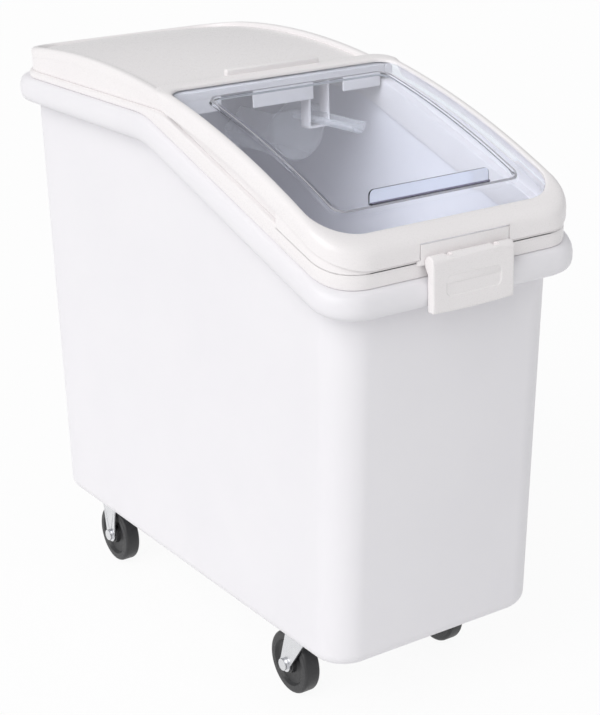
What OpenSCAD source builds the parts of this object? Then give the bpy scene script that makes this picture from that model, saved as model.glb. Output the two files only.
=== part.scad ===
// Rolling flour bin: a moulded tub on four casters, a lid with a fixed rear cover,
// a clear window that slides back over that cover, a front latch and a hung scoop.
// Millimetres. X runs across the bin, the front faces -Y, Z is up from the floor.

/* [Overall] */
// Width over the rim
bin_w = 334; // [300:1:380]
// Length from the latch face to the back of the rim
bin_l = 743; // [680:1:800]
// Height from the floor to the crest of the rear cover
bin_h = 700; // [690:1:740]

/* [Tub] */
// Thickness of the tub wall
tub_wall = 4; // [3:0.5:6]
// Thickness of the tub floor
tub_floor = 5; // [4:0.5:8]
// Plan radius of the tub's upright corners at the rim
tub_corner = 42; // [34:1:50]
// Radius of the rounded edge round the tub's bottom
tub_bottom_round = 16; // [8:1:22]
// How far each side leans in from rim to bottom
side_draft = 1.5; // [0:0.5:6]
// How far the front leans in from rim to bottom
front_draft = 24; // [8:1:30]
// How far the back leans in from rim to bottom
rear_draft = 11.5; // [4:0.5:24]
// Height of the raised pads inside the floor that take the caster screws
pad_h = 8; // [6:0.5:14]

/* [Rim] */
// How far the rolled rim stands out from the wall
bead_reach = 22; // [18:1:26]
// Height of the rolled rim
bead_h = 31; // [24:1:34]
// Plan radius of the rolled rim's front corners
rim_front_corner = 46; // [40:1:64]
// Plan radius of the rolled rim's rear corners
rim_rear_corner = 61; // [54:1:66]
// Drop from the crest of the cover to the rim's underside at the back
rim_rear_drop = 74; // [68:1:84]
// Drop from the crest of the cover to the rim's underside at the front
rim_front_drop = 196; // [180:1:210]
// Share of the length over which the rim is level at the back
rear_level_share = 0.479; // [0.44:0.001:0.51]
// Length of the level rim at the front
rim_front_level = 16; // [10:1:40]

/* [Lid] */
// How far the lid ring is set in from the edge of the rim at the sides and front
ring_inset = 7.5; // [6.5:0.5:8.5]
// How far the lid ring is set in from the edge of the rim at the back
ring_rear_inset = 9.5; // [7.5:0.5:11]
// Plan radius of the lid ring's front corners
ring_front_corner = 45; // [40:1:56]
// Plan radius of the lid ring's rear corners
ring_rear_corner = 68; // [54:1:70]
// Height of the ring's ledge over the rim's underside at the back
ring_rear_h = 39; // [36:0.5:44]
// Height of the ring's ledge over the rim's underside at the front
ring_front_h = 51; // [44:0.5:54]
// How far the ledge starts its slope in front of the rim's own slope
ring_slope_lag = 37; // [20:1:50]
// Depth of the skirt that locates the ring inside the tub
skirt_depth = 14; // [8:1:20]
// Thickness of the skirt
skirt_t = 3; // [2:0.5:4]
// Play between the skirt and the tub
skirt_play = 1; // [0.5:0.1:2]
// Gap left between lid pieces that only lie on each other
lay_gap = 0.3; // [0.2:0.05:0.5]

/* [Rear cover] */
// Share of the length from the back of the rim to the crest of the lid's curve
crest_share = 0.25; // [0.22:0.005:0.28]
// How far the cover is set in from the edge of the rim
cover_inset = 13; // [12:0.5:18]
// Plan radius of the cover's corners
cover_corner = 60; // [50:1:66]
// Height of the raised lips along the cover's edge
lip_h = 12; // [9:0.5:16]
// Width of the lips
lip_w = 11; // [8:0.5:14]
// How far the cover's wall is set in below its lips
wall_inset = 3; // [1:0.5:5]
// Wall thickness of the cover
cover_t = 3; // [2.5:0.25:4]
// How far the cover's middle lies below its lips
panel_drop = 1.6; // [1.2:0.2:4]
// How much the cover arches across its width
panel_crown = 4; // [2:0.5:6]
// Depth of the apron under the cover's front edge
cover_edge_h = 22; // [18:0.5:28]
// Width of the apron's middle
apron_w = 82; // [70:1:90]
// Width of the slot on each side of the apron's middle
apron_slot = 42; // [30:1:50]

/* [Window] */
// Share of the length that the window covers when it is shut
window_share = 0.486; // [0.46:0.001:0.52]
// How far the window's edge stands out past the cover's lips
window_overhang = 8.5; // [6:0.5:9.5]
// Height of the window frame over its seat
frame_h = 19; // [18:0.5:24]
// Wall thickness of the window frame
frame_t = 3; // [2:0.25:3.4]
// Width of the frame seen from above at the sides
frame_band = 11.5; // [10:0.5:16]
// Width of the frame seen from above at the front
frame_front_band = 24; // [20:1:34]
// Width of the frame's bar at the back
frame_rear_band = 20; // [14:1:28]
// Plan radius of the frame's front corners
frame_corner = 50; // [36:1:56]
// Plan radius of the frame's rear corners
frame_rear_corner = 24; // [16:1:30]
// How far the window overlaps the cover when it is shut
window_overlap = 25.5; // [18:0.5:40]
// Thickness of the clear panel
panel_t = 2.4; // [2:0.1:3]
// Width of the clear margin round the panel's raised middle
panel_margin = 29.5; // [20:0.5:36]
// Distance from the frame's bar to the raised middle
panel_rear_margin = 34.5; // [24:0.5:50]
// Plan radius of the raised middle's corners
rise_corner = 14; // [8:1:30]
// Rise of the panel's middle
panel_rise = 4; // [3:0.5:7]
// Width of the finger pull moulded on the panel
pull_w = 155; // [120:1:190]
// Thickness of the finger pull, an upright lip
pull_t = 3; // [2.5:0.5:4]
// Height of the finger pull
pull_h = 15; // [10:0.5:18]
// Radius of the finger pull's upper corners
pull_corner = 6; // [2:0.5:8]
// Space between the front edge of the raised middle and the finger pull
pull_set = 4; // [3:0.5:8]
// Width of the tab at the back of the frame
tab_w = 126; // [80:1:134]
// Length of the tab at the back of the frame
tab_l = 2; // [0:0.5:6]
// Height of the tab over the frame
tab_h = 6; // [3:0.5:8]
// Thickness of the tab
tab_t = 8; // [5:0.5:10]
// Running gap between the window and what it slides on
run_gap = 0.4; // [0.3:0.1:0.8]

/* [Latch] */
// Width of the latch
latch_w = 106; // [92:1:110]
// How far the latch's face stands out past the rim
latch_reach = 10; // [8.6:0.2:14]
// Wall thickness of the latch
latch_t = 4; // [3:0.25:5]
// Radius of the latch's rolled top
latch_roll_r = 7; // [5:0.1:7.1]
// Width of the hook under the rim
hook_w = 80; // [60:1:84]
// Gap between the hook and the rim
hook_gap = 1; // [0.6:0.2:2]
// Thickness of the hook
hook_t = 2.6; // [2.2:0.2:4]
// Radius of the latch's pin
pin_r = 2; // [1.5:0.1:2.6]
// Radial running clearance of pins, kingpins and axles
pin_play = 0.05; // [0.02:0.01:0.09]
// Width of each ear that holds the pin
ear_w = 8; // [6:0.5:12]
// Distance between the middles of the two ears
ear_pitch = 60; // [40:1:80]
// Width of the tongue that stands in the window's notch
tongue_w = 114; // [90:1:130]
// Height of that tongue
tongue_h = 16; // [10:0.5:18]
// Gap round the tongue in the notch
notch_gap = 1.2; // [0.8:0.1:2]
// Width of the plain recess on the latch's face
label_w = 71; // [50:1:80]
// Height of the plain recess on the latch's face
label_h = 21; // [14:0.5:26]

/* [Scoop] */
// Width of the scoop's bowl
scoop_w = 80; // [64:1:96]
// Length of the scoop's bowl
scoop_l = 104; // [80:1:120]
// Depth of the scoop's bowl
scoop_d = 62; // [50:1:76]
// Wall thickness of the scoop
scoop_t = 2.4; // [2:0.1:3]
// Length of the scoop's handle
handle_l = 112; // [90:1:118]
// Width of the scoop's handle
handle_w = 24; // [18:1:30]
// Drop from the crest of the cover to the scoop's rim
scoop_drop = 67; // [66:1:90]
// Distance of the scoop from the middle of the bin
scoop_x = 50; // [30:1:60]
// Distance from the cover's front edge back to the scoop's bowl
scoop_back = 46; // [42:1:60]
// Turn of the scoop's handle from straight ahead
scoop_turn = 4; // [0:1:10]
// Distance from the bowl to the hanger along the handle
hanger_at = 24; // [16:1:25]
// Width of the hanger's strap along the handle
hanger_l = 16; // [10:1:20]
// Thickness of the hanger's strap
hanger_t = 3; // [2:0.25:4]
// Gap between the hanger and the handle
hanger_gap = 0.4; // [0.3:0.1:0.8]

/* [Casters] */
// Height of a caster from the floor to the tub
caster_h = 93; // [90:1:110]
// Radius of the wheels
wheel_r = 38.1; // [32:0.1:38.5]
// Width of the tread
wheel_w = 20; // [16:0.5:22]
// Distance from the side of the rim to the middle of a caster
caster_inset = 62; // [60:0.5:72]
// Distance from the back of the rim to the rear axle
rear_axle_back = 118.5; // [110:0.5:150]
// Distance from the front of the rim to the front kingpin
kingpin_back = 155.5; // [130:0.5:170]
// How far the front wheels trail behind their kingpins
trail = 28; // [20:1:30]
// Width of a caster plate
plate_w = 44; // [40:1:46]
// Length of a caster plate
plate_l = 72; // [66:1:80]
// Thickness of a caster plate
plate_t = 3; // [2:0.25:4]
// Spacing of the caster screws across the bin
screw_pitch_x = 30; // [27:1:32]
// Spacing of the caster screws along the bin
screw_pitch_y = 56; // [52:1:60]
// Radius of the caster screws
screw_r = 3; // [2.5:0.1:3.4]
// Thickness of the pressed steel forks
fork_t = 2.5; // [2:0.1:3]
// Gap between the hub and each fork leg
hub_gap = 0.4; // [0.3:0.05:0.6]
// Radius of the axles
axle_r = 4; // [3:0.1:5]
// Wall thickness of the hub bushes
bush_t = 2; // [1.5:0.1:3]
// Radius of the kingpins
kingpin_r = 5; // [4:0.1:6]
// Outer radius of the swivel race
race_r = 19; // [15:0.5:20]
// Height of the swivel race
race_h = 5.5; // [4:0.5:7]
// Vertical running gap of the swivel
swivel_gap = 0.3; // [0.2:0.05:0.5]

/* [Hidden] */
$fn = 72;

// Steps in each rounded corner and along each side of a plan outline
corner_steps = 8;
side_steps = 22;
// Half the length over which the rim's two bends are eased
bend_ease = 16;
// Overshoot of cutting shapes past the faces that they cut
cut = 1;

// The tub's floor: its inner rounding, and the level where it meets the walls
inner_round = tub_bottom_round - tub_wall;
floor_top_z = caster_h + tub_floor + inner_round;

// The rim in plan
rim_rear_y = bin_l / 2;
rim_front_y = -bin_l / 2 + latch_reach;
rim_half_w = bin_w / 2;
rim_rear_z = bin_h - rim_rear_drop;
rim_front_z = bin_h - rim_front_drop;
rear_bend_y = rim_rear_y - rear_level_share * bin_l;
front_bend_y = rim_front_y + rim_front_level;

// Levels of the lid's ledge
ledge_rear_z = rim_rear_z + ring_rear_h;
ledge_front_z = rim_front_z + ring_front_h;
ledge_bend_y = rear_bend_y - ring_slope_lag;

// The arc that the window slides on: level at its crest and down to the ledge at the window's front
crest_y = rim_rear_y - crest_share * bin_l;
seat_crest_z = bin_h - lip_h;
window_front_y = rim_front_y + cover_inset - window_overhang;
seat_run = crest_y - window_front_y;
seat_fall = seat_crest_z - ledge_front_z;
seat_r = (seat_run * seat_run + seat_fall * seat_fall) / (2 * seat_fall);
arc_z = seat_crest_z - seat_r;
lip_r = seat_r + lip_h;
apron_low_r = lip_r - panel_drop - cover_t - cover_edge_h;
apron_half_w = rim_half_w - bead_reach - tub_wall - skirt_play - skirt_t - run_gap;

// The rear cover and the window in plan
lip_half_w = rim_half_w - cover_inset;
cover_rear_y = rim_rear_y - cover_inset;
window_half_w = lip_half_w + window_overhang;
window_rear_y = rim_front_y + window_share * bin_l;
cover_front_y = window_rear_y - window_overlap;
frame_inner_w = window_half_w - frame_band;
frame_inner_front = window_front_y + frame_front_band;
frame_inner_rear = window_rear_y - frame_rear_band;
frame_inner_corner = frame_corner - frame_band;
frame_under_r = lip_r + 2 * run_gap + panel_t + lay_gap;
panel_under_r = lip_r + 2 * run_gap;
panel_top_r = panel_under_r + panel_t;
frame_top_r = seat_r + frame_h;
panel_seat = (frame_band - frame_t) / 2;
rise_half_w = frame_inner_w - panel_margin;
rise_front = frame_inner_front + panel_margin;
rise_rear = frame_inner_rear - panel_rear_margin;

// The latch
ring_front_y = rim_front_y + ring_inset;
latch_face_y = -bin_l / 2;
latch_pivot_y = window_front_y - latch_roll_r - run_gap;
latch_pivot_z = ledge_front_z - pin_r;
hook_top_z = rim_front_z - hook_gap;
latch_low_z = hook_top_z - hook_t;

// The casters
caster_x = rim_half_w - caster_inset;
rear_axle_y = rim_rear_y - rear_axle_back;
kingpin_y = rim_front_y + kingpin_back;
front_axle_y = kingpin_y + trail;
plate_z = caster_h - plate_t;
web_top_z = plate_z - race_h - swivel_gap;
web_z = web_top_z - fork_t;
hub_w = wheel_w + 4;
leg_in = hub_w / 2 + hub_gap;
leg_out = leg_in + fork_t;
bush_r = axle_r + pin_play + bush_t;
axle_head_h = 4;
axle_head_r = axle_r + 3.2;
screw_head_r = screw_r + 2.4;
screw_head_h = 3.2;
screw_depth = tub_floor + pad_h - 3;

// Height at y of a line that is level up to y0, slopes to y1 and is level beyond
function ramp(y, y0, z0, y1, z1) = z0 + (z1 - z0) * min(1, max(0, (y - y0) / (y1 - y0)));
function eased(y, y0, z0, y1, z1) =
    (ramp(y - bend_ease, y0, z0, y1, z1) + 2 * ramp(y, y0, z0, y1, z1) + ramp(y + bend_ease, y0, z0, y1, z1)) / 4;
function rim_z(y) = eased(y, front_bend_y, rim_front_z, rear_bend_y, rim_rear_z);
function ledge_z(y) = eased(y, front_bend_y, ledge_front_z, ledge_bend_y, ledge_rear_z);
function arc_at(y, r) = arc_z + sqrt(r * r - (y - crest_y) * (y - crest_y));

// Plan outline with rounded corners: the right half from front to back, then the left half back again.
// The points of its sides are spaced from ya to yb, which are the ends of the sides unless they are given
function half_plan(w, yf, yr, rf, rr, ya, yb) = concat(
    [for (i = [0 : corner_steps]) let (a = 90 * i / corner_steps) [w - rf + rf * sin(a), yf + rf - rf * cos(a)]],
    [for (i = [1 : side_steps - 1]) [w, ya + (yb - ya) * i / side_steps]],
    [for (i = [0 : corner_steps]) let (a = 90 * i / corner_steps) [w - rr + rr * cos(a), yr - rr + rr * sin(a)]]);
function plan(w, yf, yr, rf, rr, ya = undef, yb = undef) =
    let (h = half_plan(w, yf, yr, rf, rr, is_undef(ya) ? yf + rf : ya, is_undef(yb) ? yr - rr : yb), n = len(h))
    concat(h, [for (i = [0 : n - 1]) [-h[n - 1 - i][0], h[n - 1 - i][1]]]);

// One ring of a loft: a plan outline at a level height, on the sloping rim, on the ledge or on the arc
function level_ring(outline, z) = [for (p = outline) [p[0], p[1], z]];
function rim_ring(outline, dz) = [for (p = outline) [p[0], p[1], rim_z(p[1]) + dz]];
function ledge_ring(outline, dz) = [for (p = outline) [p[0], p[1], ledge_z(p[1]) + dz]];
function arc_ring(outline, r) = [for (p = outline) [p[0], p[1], arc_at(p[1], r)]];

// The tub's outline at the rim, grown by g, with corners that go over into those of the rolled rim
function rim_corner(g, outer) = tub_corner + (g > 0 ? (outer - tub_corner) * g / bead_reach : g);
function rim_plan(g) = plan(rim_half_w - bead_reach + g, rim_front_y + bead_reach - g, rim_rear_y - bead_reach + g,
                            rim_corner(g, rim_front_corner), rim_corner(g, rim_rear_corner));
// The lid ring's outline, set in by i, with its side points over those of the rim's flat top
bead_flat = bead_reach * 0.6;
function ring_plan(i) = plan(rim_half_w - ring_inset - i, ring_front_y + i, rim_rear_y - ring_rear_inset - i,
                             ring_front_corner - i, ring_rear_corner - i,
                             rim_front_y + bead_reach - bead_flat + rim_corner(bead_flat, rim_front_corner),
                             rim_rear_y - bead_reach + bead_flat - rim_corner(bead_flat, rim_rear_corner));
// An outline part of the way from a to b
function between(a, b, t) = [for (i = [0 : len(a) - 1]) a[i] * (1 - t) + b[i] * t];
// The tub's outline at its bottom, grown by g
function bottom_plan(g) = plan(rim_half_w - bead_reach - side_draft + g, rim_front_y + bead_reach + front_draft - g,
                               rim_rear_y - bead_reach - rear_draft + g, tub_corner - side_draft + g,
                               tub_corner - side_draft + g);

// A solid through a list of rings: capped at both ends, or closed back on its first ring
module loft(rings, closed = false) {
    k = len(rings[0]);
    n = len(rings);
    last = closed ? n - 1 : n - 2;
    sides = [for (j = [0 : last]) for (i = [0 : k - 1])
             let (a = j * k + i, b = j * k + (i + 1) % k,
                  c = ((j + 1) % n) * k + (i + 1) % k, d = ((j + 1) % n) * k + i)
             each [[a, d, c], [a, c, b]]];
    caps = closed ? [] : [for (i = [0 : k / 2 - 2])
             let (a = i, b = i + 1, c = k - 2 - i, d = k - 1 - i, t = (n - 1) * k)
             each [[a, b, c], [a, c, d], [t + a, t + d, t + c], [t + a, t + c, t + b]]];
    polyhedron(points = [for (ring = rings) each ring], faces = concat(sides, caps), convexity = 10);
}

// Flat plan with true round corners
module flat_plan(w, yf, yr, rf, rr) {
    translate([-w, yf + rf]) square([2 * w, yr - rr - yf - rf]);
    translate([-w + rf, yf]) square([2 * (w - rf), rf + cut]);
    translate([-w + rr, yr - rr - cut]) square([2 * (w - rr), rr + cut]);
    for (s = [-1, 1]) {
        translate([s * (w - rf), yf + rf]) circle(rf);
        translate([s * (w - rr), yr - rr]) circle(rr);
    }
}

// A drum about the arc's axis, across the whole bin
module arc_drum(r) translate([0, crest_y, arc_z]) rotate([0, 90, 0]) cylinder(r = r, h = bin_w, center = true, $fn = 360);

// A slab of the side view, from x0 to x1
module side_slab(x0, x1, points) translate([x0, 0, 0]) rotate([90, 0, 90]) linear_extrude(x1 - x0) polygon(points);

// A rod along X from x0 to x1
module rod(x0, x1, y, z, r) translate([x0, y, z]) rotate([0, 90, 0]) cylinder(r = r, h = x1 - x0);

// Places what stands at the four caster plates
module at_casters() for (s = [-1, 1]) for (y = [kingpin_y, rear_axle_y]) translate([s * caster_x, y, 0]) children();

// Places what stands at the four screws of one plate
module at_screws() for (sx = [-1, 1]) for (sy = [-1, 1])
    translate([sx * screw_pitch_x / 2, sy * screw_pitch_y / 2, 0]) children();

// The tub's walls and rolled rim, one moulding with its floor, which is a node of its own
module bin_body() color("white")
    loft([level_ring(bottom_plan(0), floor_top_z),
          rim_ring(rim_plan(0), bead_h * 0.25),
          rim_ring(rim_plan(bead_reach * 0.3), bead_h * 0.06),
          rim_ring(rim_plan(bead_reach * 0.6), 0),
          rim_ring(rim_plan(bead_reach * 0.86), bead_h * 0.12),
          rim_ring(rim_plan(bead_reach), bead_h * 0.38),
          rim_ring(rim_plan(bead_reach), bead_h * 0.62),
          rim_ring(rim_plan(bead_reach * 0.86), bead_h * 0.88),
          rim_ring(rim_plan(bead_flat), bead_h),
          rim_ring(rim_plan(-tub_wall), bead_h),
          level_ring(bottom_plan(-tub_wall), floor_top_z)], closed = true);

// The tub's floor: a shallow tray with a rounded edge, up to where the walls are straight, with the caster pads
module bin_floor() color("white") difference() {
    union() {
        loft(concat(
            [for (i = [0 : 4]) let (a = 90 * i / 4)
                level_ring(bottom_plan(-tub_bottom_round * (1 - sin(a))), caster_h + tub_bottom_round * (1 - cos(a)))],
            [level_ring(bottom_plan(0), floor_top_z)],
            [for (i = [4 : -1 : 0]) let (a = 90 * i / 4)
                level_ring(bottom_plan(-tub_wall - inner_round * (1 - sin(a))), floor_top_z - inner_round * cos(a))]));
        at_casters() translate([-plate_w / 2, -plate_l / 2, caster_h + tub_floor - cut / 2])
            cube([plate_w, plate_l, pad_h + cut / 2]);
    }
    at_casters() at_screws() translate([0, 0, caster_h - cut])
        cylinder(r = screw_r + pin_play, h = screw_depth + cut + 1);
}

// The lid ring: lies on the rim, with a skirt inside the tub, the latch's ears and the tongue for the window's notch
module lid_ring() color("ivory") {
    skirt = -tub_wall - skirt_play;
    tongue_foot = 6;
    difference() {
        union() {
            loft([rim_ring(ring_plan(0), bead_h + 1.5 * lay_gap),
                  ledge_ring(ring_plan(0), -1),
                  each [for (i = [0 : 4]) ledge_ring(between(ring_plan(1), rim_plan(skirt), i / 4), 0)],
                  rim_ring(rim_plan(skirt - skirt_t), bead_h - skirt_depth),
                  rim_ring(rim_plan(skirt), bead_h - skirt_depth),
                  rim_ring(rim_plan(skirt), bead_h + 1.5 * lay_gap)], closed = true);
            translate([-tongue_w / 2, window_front_y, ledge_front_z - tongue_foot])
                cube([tongue_w, frame_t - run_gap, tongue_h + tongue_foot]);
            translate([-tongue_w / 2, window_front_y, ledge_front_z - tongue_foot])
                cube([tongue_w, ring_front_y - window_front_y + cut, tongue_foot - cut]);
            for (s = [-1, 1]) translate([s * ear_pitch / 2, 0, 0]) {
                rod(-ear_w / 2, ear_w / 2, latch_pivot_y, latch_pivot_z, 2 * pin_r);
                side_slab(-ear_w / 2, ear_w / 2,
                          [[latch_pivot_y, latch_pivot_z - 2 * pin_r], [ring_front_y + cut, latch_pivot_z - 2 * pin_r],
                           [ring_front_y + cut, latch_pivot_z + pin_r], [latch_pivot_y, latch_pivot_z + 2 * pin_r]]);
            }
        }
        rod(-latch_w, latch_w, latch_pivot_y, latch_pivot_z, pin_r + pin_play);
    }
}

// Solid of the lid's space over the ledge, between y0 and y1
module over_ledge(y0, y1) {
    step = (y1 - y0) / 80;
    side_slab(-rim_half_w, rim_half_w, concat(
        [for (i = [0 : 80]) [y0 + i * step, ledge_z(y0 + i * step) + lay_gap]], [[y1, bin_h + cut], [y0, bin_h + cut]]));
}

// Upright band of the cover's outline, w wide, set in from the lips by inset
module cover_band(inset, w) linear_extrude(bin_h + cut) difference() {
    flat_plan(lip_half_w - inset, window_front_y + 1.5 * window_overhang + inset, cover_rear_y - inset,
              cover_corner - inset, cover_corner - inset);
    flat_plan(lip_half_w - inset - w, window_front_y + 1.5 * window_overhang + inset + w, cover_rear_y - inset - w,
              cover_corner - inset - w, cover_corner - inset - w);
}

// The cover's crowned cross section, lowered by drop, from left to right
sheet_half_w = lip_half_w - wall_inset;
sheet_steps = 12;
function sheet_line(drop) = [for (i = [-sheet_steps : sheet_steps]) let (t = i / sheet_steps)
    [lip_r - panel_drop - panel_crown * t * t - drop, sheet_half_w * t]];

// A cross section turned about the arc's axis
module about_arc(points) translate([0, crest_y, arc_z]) rotate([0, 90, 0]) rotate_extrude($fn = 360) polygon(points);

// The cover's arched sheet as a full turn
module arched_sheet() {
    low = sheet_line(cover_t);
    about_arc(concat(sheet_line(0), [for (i = [2 * sheet_steps : -1 : 0]) low[i]]));
}

// All that lies under the sheet, by a gap
module under_sheet(gap) about_arc(concat([[0, -sheet_half_w]], sheet_line(cover_t + gap), [[0, sheet_half_w]]));

// Half space behind the cover's front edge
module behind_cover_edge(back = 0) translate([-bin_w, cover_front_y + back, ledge_front_z]) cube([2 * bin_w, bin_l, bin_h]);

// The rear cover: walls on the ring's ledge, raised lips, an arched sheet and a slotted apron under its front edge
module rear_cover() color("white") {
    intersection() {
        cover_band(wall_inset, cover_t);
        arc_drum(seat_r);
        over_ledge(window_front_y, rim_rear_y);
    }
    intersection() {
        difference() {
            cover_band(0, lip_w);
            arc_drum(seat_r - cut);
        }
        arc_drum(lip_r);
        behind_cover_edge();
    }
    intersection() {
        arched_sheet();
        linear_extrude(bin_h) flat_plan(lip_half_w - wall_inset, window_front_y, cover_rear_y - wall_inset,
                                        cover_corner - wall_inset, cover_corner - wall_inset);
        behind_cover_edge();
    }
    intersection() {
        difference() {
            arc_drum(lip_r - panel_drop - panel_crown);
            arc_drum(apron_low_r);
            intersection() {
                arc_drum(lip_r - panel_drop - panel_crown - cover_t);
                for (s = [-1, 1]) translate([s * (apron_w + apron_slot) / 2 - apron_slot / 2, cover_front_y - cut, 0])
                    cube([apron_slot, cover_t + 2 * cut, bin_h]);
            }
        }
        translate([-apron_half_w, cover_front_y, 0]) cube([2 * apron_half_w, cover_t, bin_h]);
    }
}

// The window frame's outline, set in by i, with its front and back set in by f and b
function frame_plan(i, f, b) = plan(window_half_w - i, window_front_y + f, window_rear_y - b,
                                    frame_corner - i, frame_rear_corner - min(i, b));
// Lower edge of the frame: on its seat at the sides and front, over the cover's lips at the back
function frame_low(y) = y > window_rear_y - frame_rear_corner ? frame_under_r - run_gap : seat_r + run_gap;
// Ring of the frame at a share t of its height over that lower edge
function frame_ring(outline, t) =
    [for (p = outline) let (low = frame_low(p[1])) [p[0], p[1], arc_at(p[1], low + (frame_top_r - low) * t)]];

// The window's white frame: an inverted channel that rides over the cover's lips, with a tab at the back
module window_frame() color("ivory") difference() {
    union() {
        loft([frame_ring(frame_plan(0, 0, 0), 0),
              frame_ring(frame_plan(0, 0, 0), 0.5),
              frame_ring(frame_plan(frame_t * 0.3, frame_t * 0.3, 0.3), 0.7),
              frame_ring(frame_plan(frame_t, frame_t, frame_t * 0.5), 0.86),
              frame_ring(frame_plan(frame_t * 2, frame_t * 2, frame_t), 0.96),
              frame_ring(frame_plan(frame_band * 0.75, frame_front_band * 0.45, frame_rear_band * 0.4), 1),
              arc_ring(frame_plan(frame_band, frame_front_band, frame_rear_band), frame_top_r - frame_h / 10),
              arc_ring(frame_plan(frame_band, frame_front_band, frame_rear_band), frame_under_r),
              arc_ring(frame_plan(frame_t, frame_t, frame_t), frame_under_r),
              frame_ring(frame_plan(frame_t, frame_t, frame_t), 0)], closed = true);
        intersection() {
            difference() {
                arc_drum(frame_top_r + tab_h);
                arc_drum(frame_under_r - run_gap);
            }
            translate([-tab_w / 2, window_rear_y + tab_l - tab_t, ledge_front_z])
                cube([tab_w, tab_t, bin_h]);
        }
    }
    translate([-tongue_w / 2 - notch_gap, window_front_y - cut, ledge_front_z - cut])
        cube([tongue_w + 2 * notch_gap, frame_t + cut + run_gap, tongue_h + notch_gap + cut]);
}

// The clear panel's outline at its seat under the frame, set in by i
function panel_plan(i) = plan(frame_inner_w + panel_seat - i, frame_inner_front - panel_seat + i,
                              frame_inner_rear + panel_seat - i, frame_inner_corner + panel_seat - i,
                              frame_rear_corner - i);
// The outline of the panel's raised middle, set in by i
function rise_plan(i) = plan(rise_half_w - i, rise_front + i, rise_rear - i,
                             rise_corner - i, rise_corner - i);

// The clear panel: a margin seated under the frame, a raised middle and an upright finger pull
module window_panel() color([0.8, 0.85, 0.92, 0.4]) {
    pull_front = rise_front + pull_set;
    loft([arc_ring(rise_plan(3 + panel_t), panel_under_r + panel_rise),
          arc_ring(rise_plan(panel_t), panel_under_r),
          arc_ring(panel_plan(0), panel_under_r),
          arc_ring(panel_plan(0), panel_top_r),
          arc_ring(rise_plan(0), panel_top_r),
          arc_ring(rise_plan(3), panel_top_r + panel_rise)]);
    translate([0, pull_front + pull_t, arc_at(pull_front, panel_top_r) + panel_rise]) rotate([90, 0, 0])
        linear_extrude(pull_t) hull() {
            translate([-pull_w / 2, -panel_t / 2]) square([pull_w, panel_t]);
            for (s = [-1, 1]) translate([s * (pull_w / 2 - pull_corner), pull_h - pull_corner]) circle(pull_corner);
        }
}

// The latch: a rolled top on the pin, a face with a plain recess, short cheeks and a hook under the rim
module front_latch() color("ivory") difference() {
    cheek_back = rim_front_y - run_gap;
    union() {
        rod(-latch_w / 2, latch_w / 2, latch_pivot_y, latch_pivot_z, latch_roll_r);
        translate([-latch_w / 2, latch_face_y, latch_low_z])
            cube([latch_w, latch_t, latch_pivot_z - latch_low_z + latch_roll_r / 2]);
        for (x = [-latch_w / 2, latch_w / 2 - latch_t]) translate([x, latch_face_y, latch_low_z])
            cube([latch_t, cheek_back - latch_face_y, latch_pivot_z - latch_low_z]);
        translate([-hook_w / 2, latch_face_y, latch_low_z])
            cube([hook_w, rim_front_y + bead_reach * 0.4 - latch_face_y, hook_t]);
    }
    rod(-latch_w, latch_w, latch_pivot_y, latch_pivot_z, pin_r + pin_play);
    for (s = [-1, 1]) translate([s * ear_pitch / 2 - ear_w / 2 - run_gap, latch_pivot_y - 2 * pin_r - run_gap,
                                 latch_pivot_z - 2 * latch_roll_r])
        cube([ear_w + 2 * run_gap, 4 * latch_roll_r, 4 * latch_roll_r]);
    translate([0, latch_face_y - cut, (latch_low_z + latch_pivot_z) / 2]) rotate([-90, 0, 0])
        linear_extrude(cut + 0.8) {
            square([label_w - label_h, label_h], center = true);
            for (s = [-1, 1]) translate([s * (label_w - label_h) / 2, 0]) circle(label_h / 2);
        }
}

// The latch's steel pin, held in the ring's ears
module latch_pin() color("silver")
    rod(-latch_w / 2 + latch_t, latch_w / 2 - latch_t, latch_pivot_y, latch_pivot_z, pin_r);

// Puts the scoop's own frame in the bin: its handle leaves the bowl along +X of that frame
module at_scoop() translate([scoop_x, cover_front_y + scoop_back, bin_h - scoop_drop]) rotate([0, 0, scoop_turn - 90])
    children();

// The hanger: a strap welded under the cover, behind its apron, that the scoop's handle lies in
module scoop_hanger() color("white") intersection() {
    at_scoop() difference() {
        translate([hanger_at, -handle_w / 2 - hanger_gap - hanger_t, -handle_w / 2 - hanger_gap - hanger_t])
            cube([hanger_l, handle_w + 2 * (hanger_gap + hanger_t), handle_w + scoop_drop]);
        translate([hanger_at - cut, -handle_w / 2 - hanger_gap, -handle_w / 2 - hanger_gap])
            cube([hanger_l + 2 * cut, handle_w + 2 * hanger_gap, bin_h]);
    }
    under_sheet(lay_gap);
}

// The scoop's bowl section: a round bottom under straight sides
module bowl_section(w, d) {
    translate([-w / 2, -d + w / 2]) square([w, d - w / 2]);
    intersection() {
        translate([0, -d + w / 2]) circle(w / 2);
        translate([-w / 2, -d]) square([w, d]);
    }
}

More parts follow.
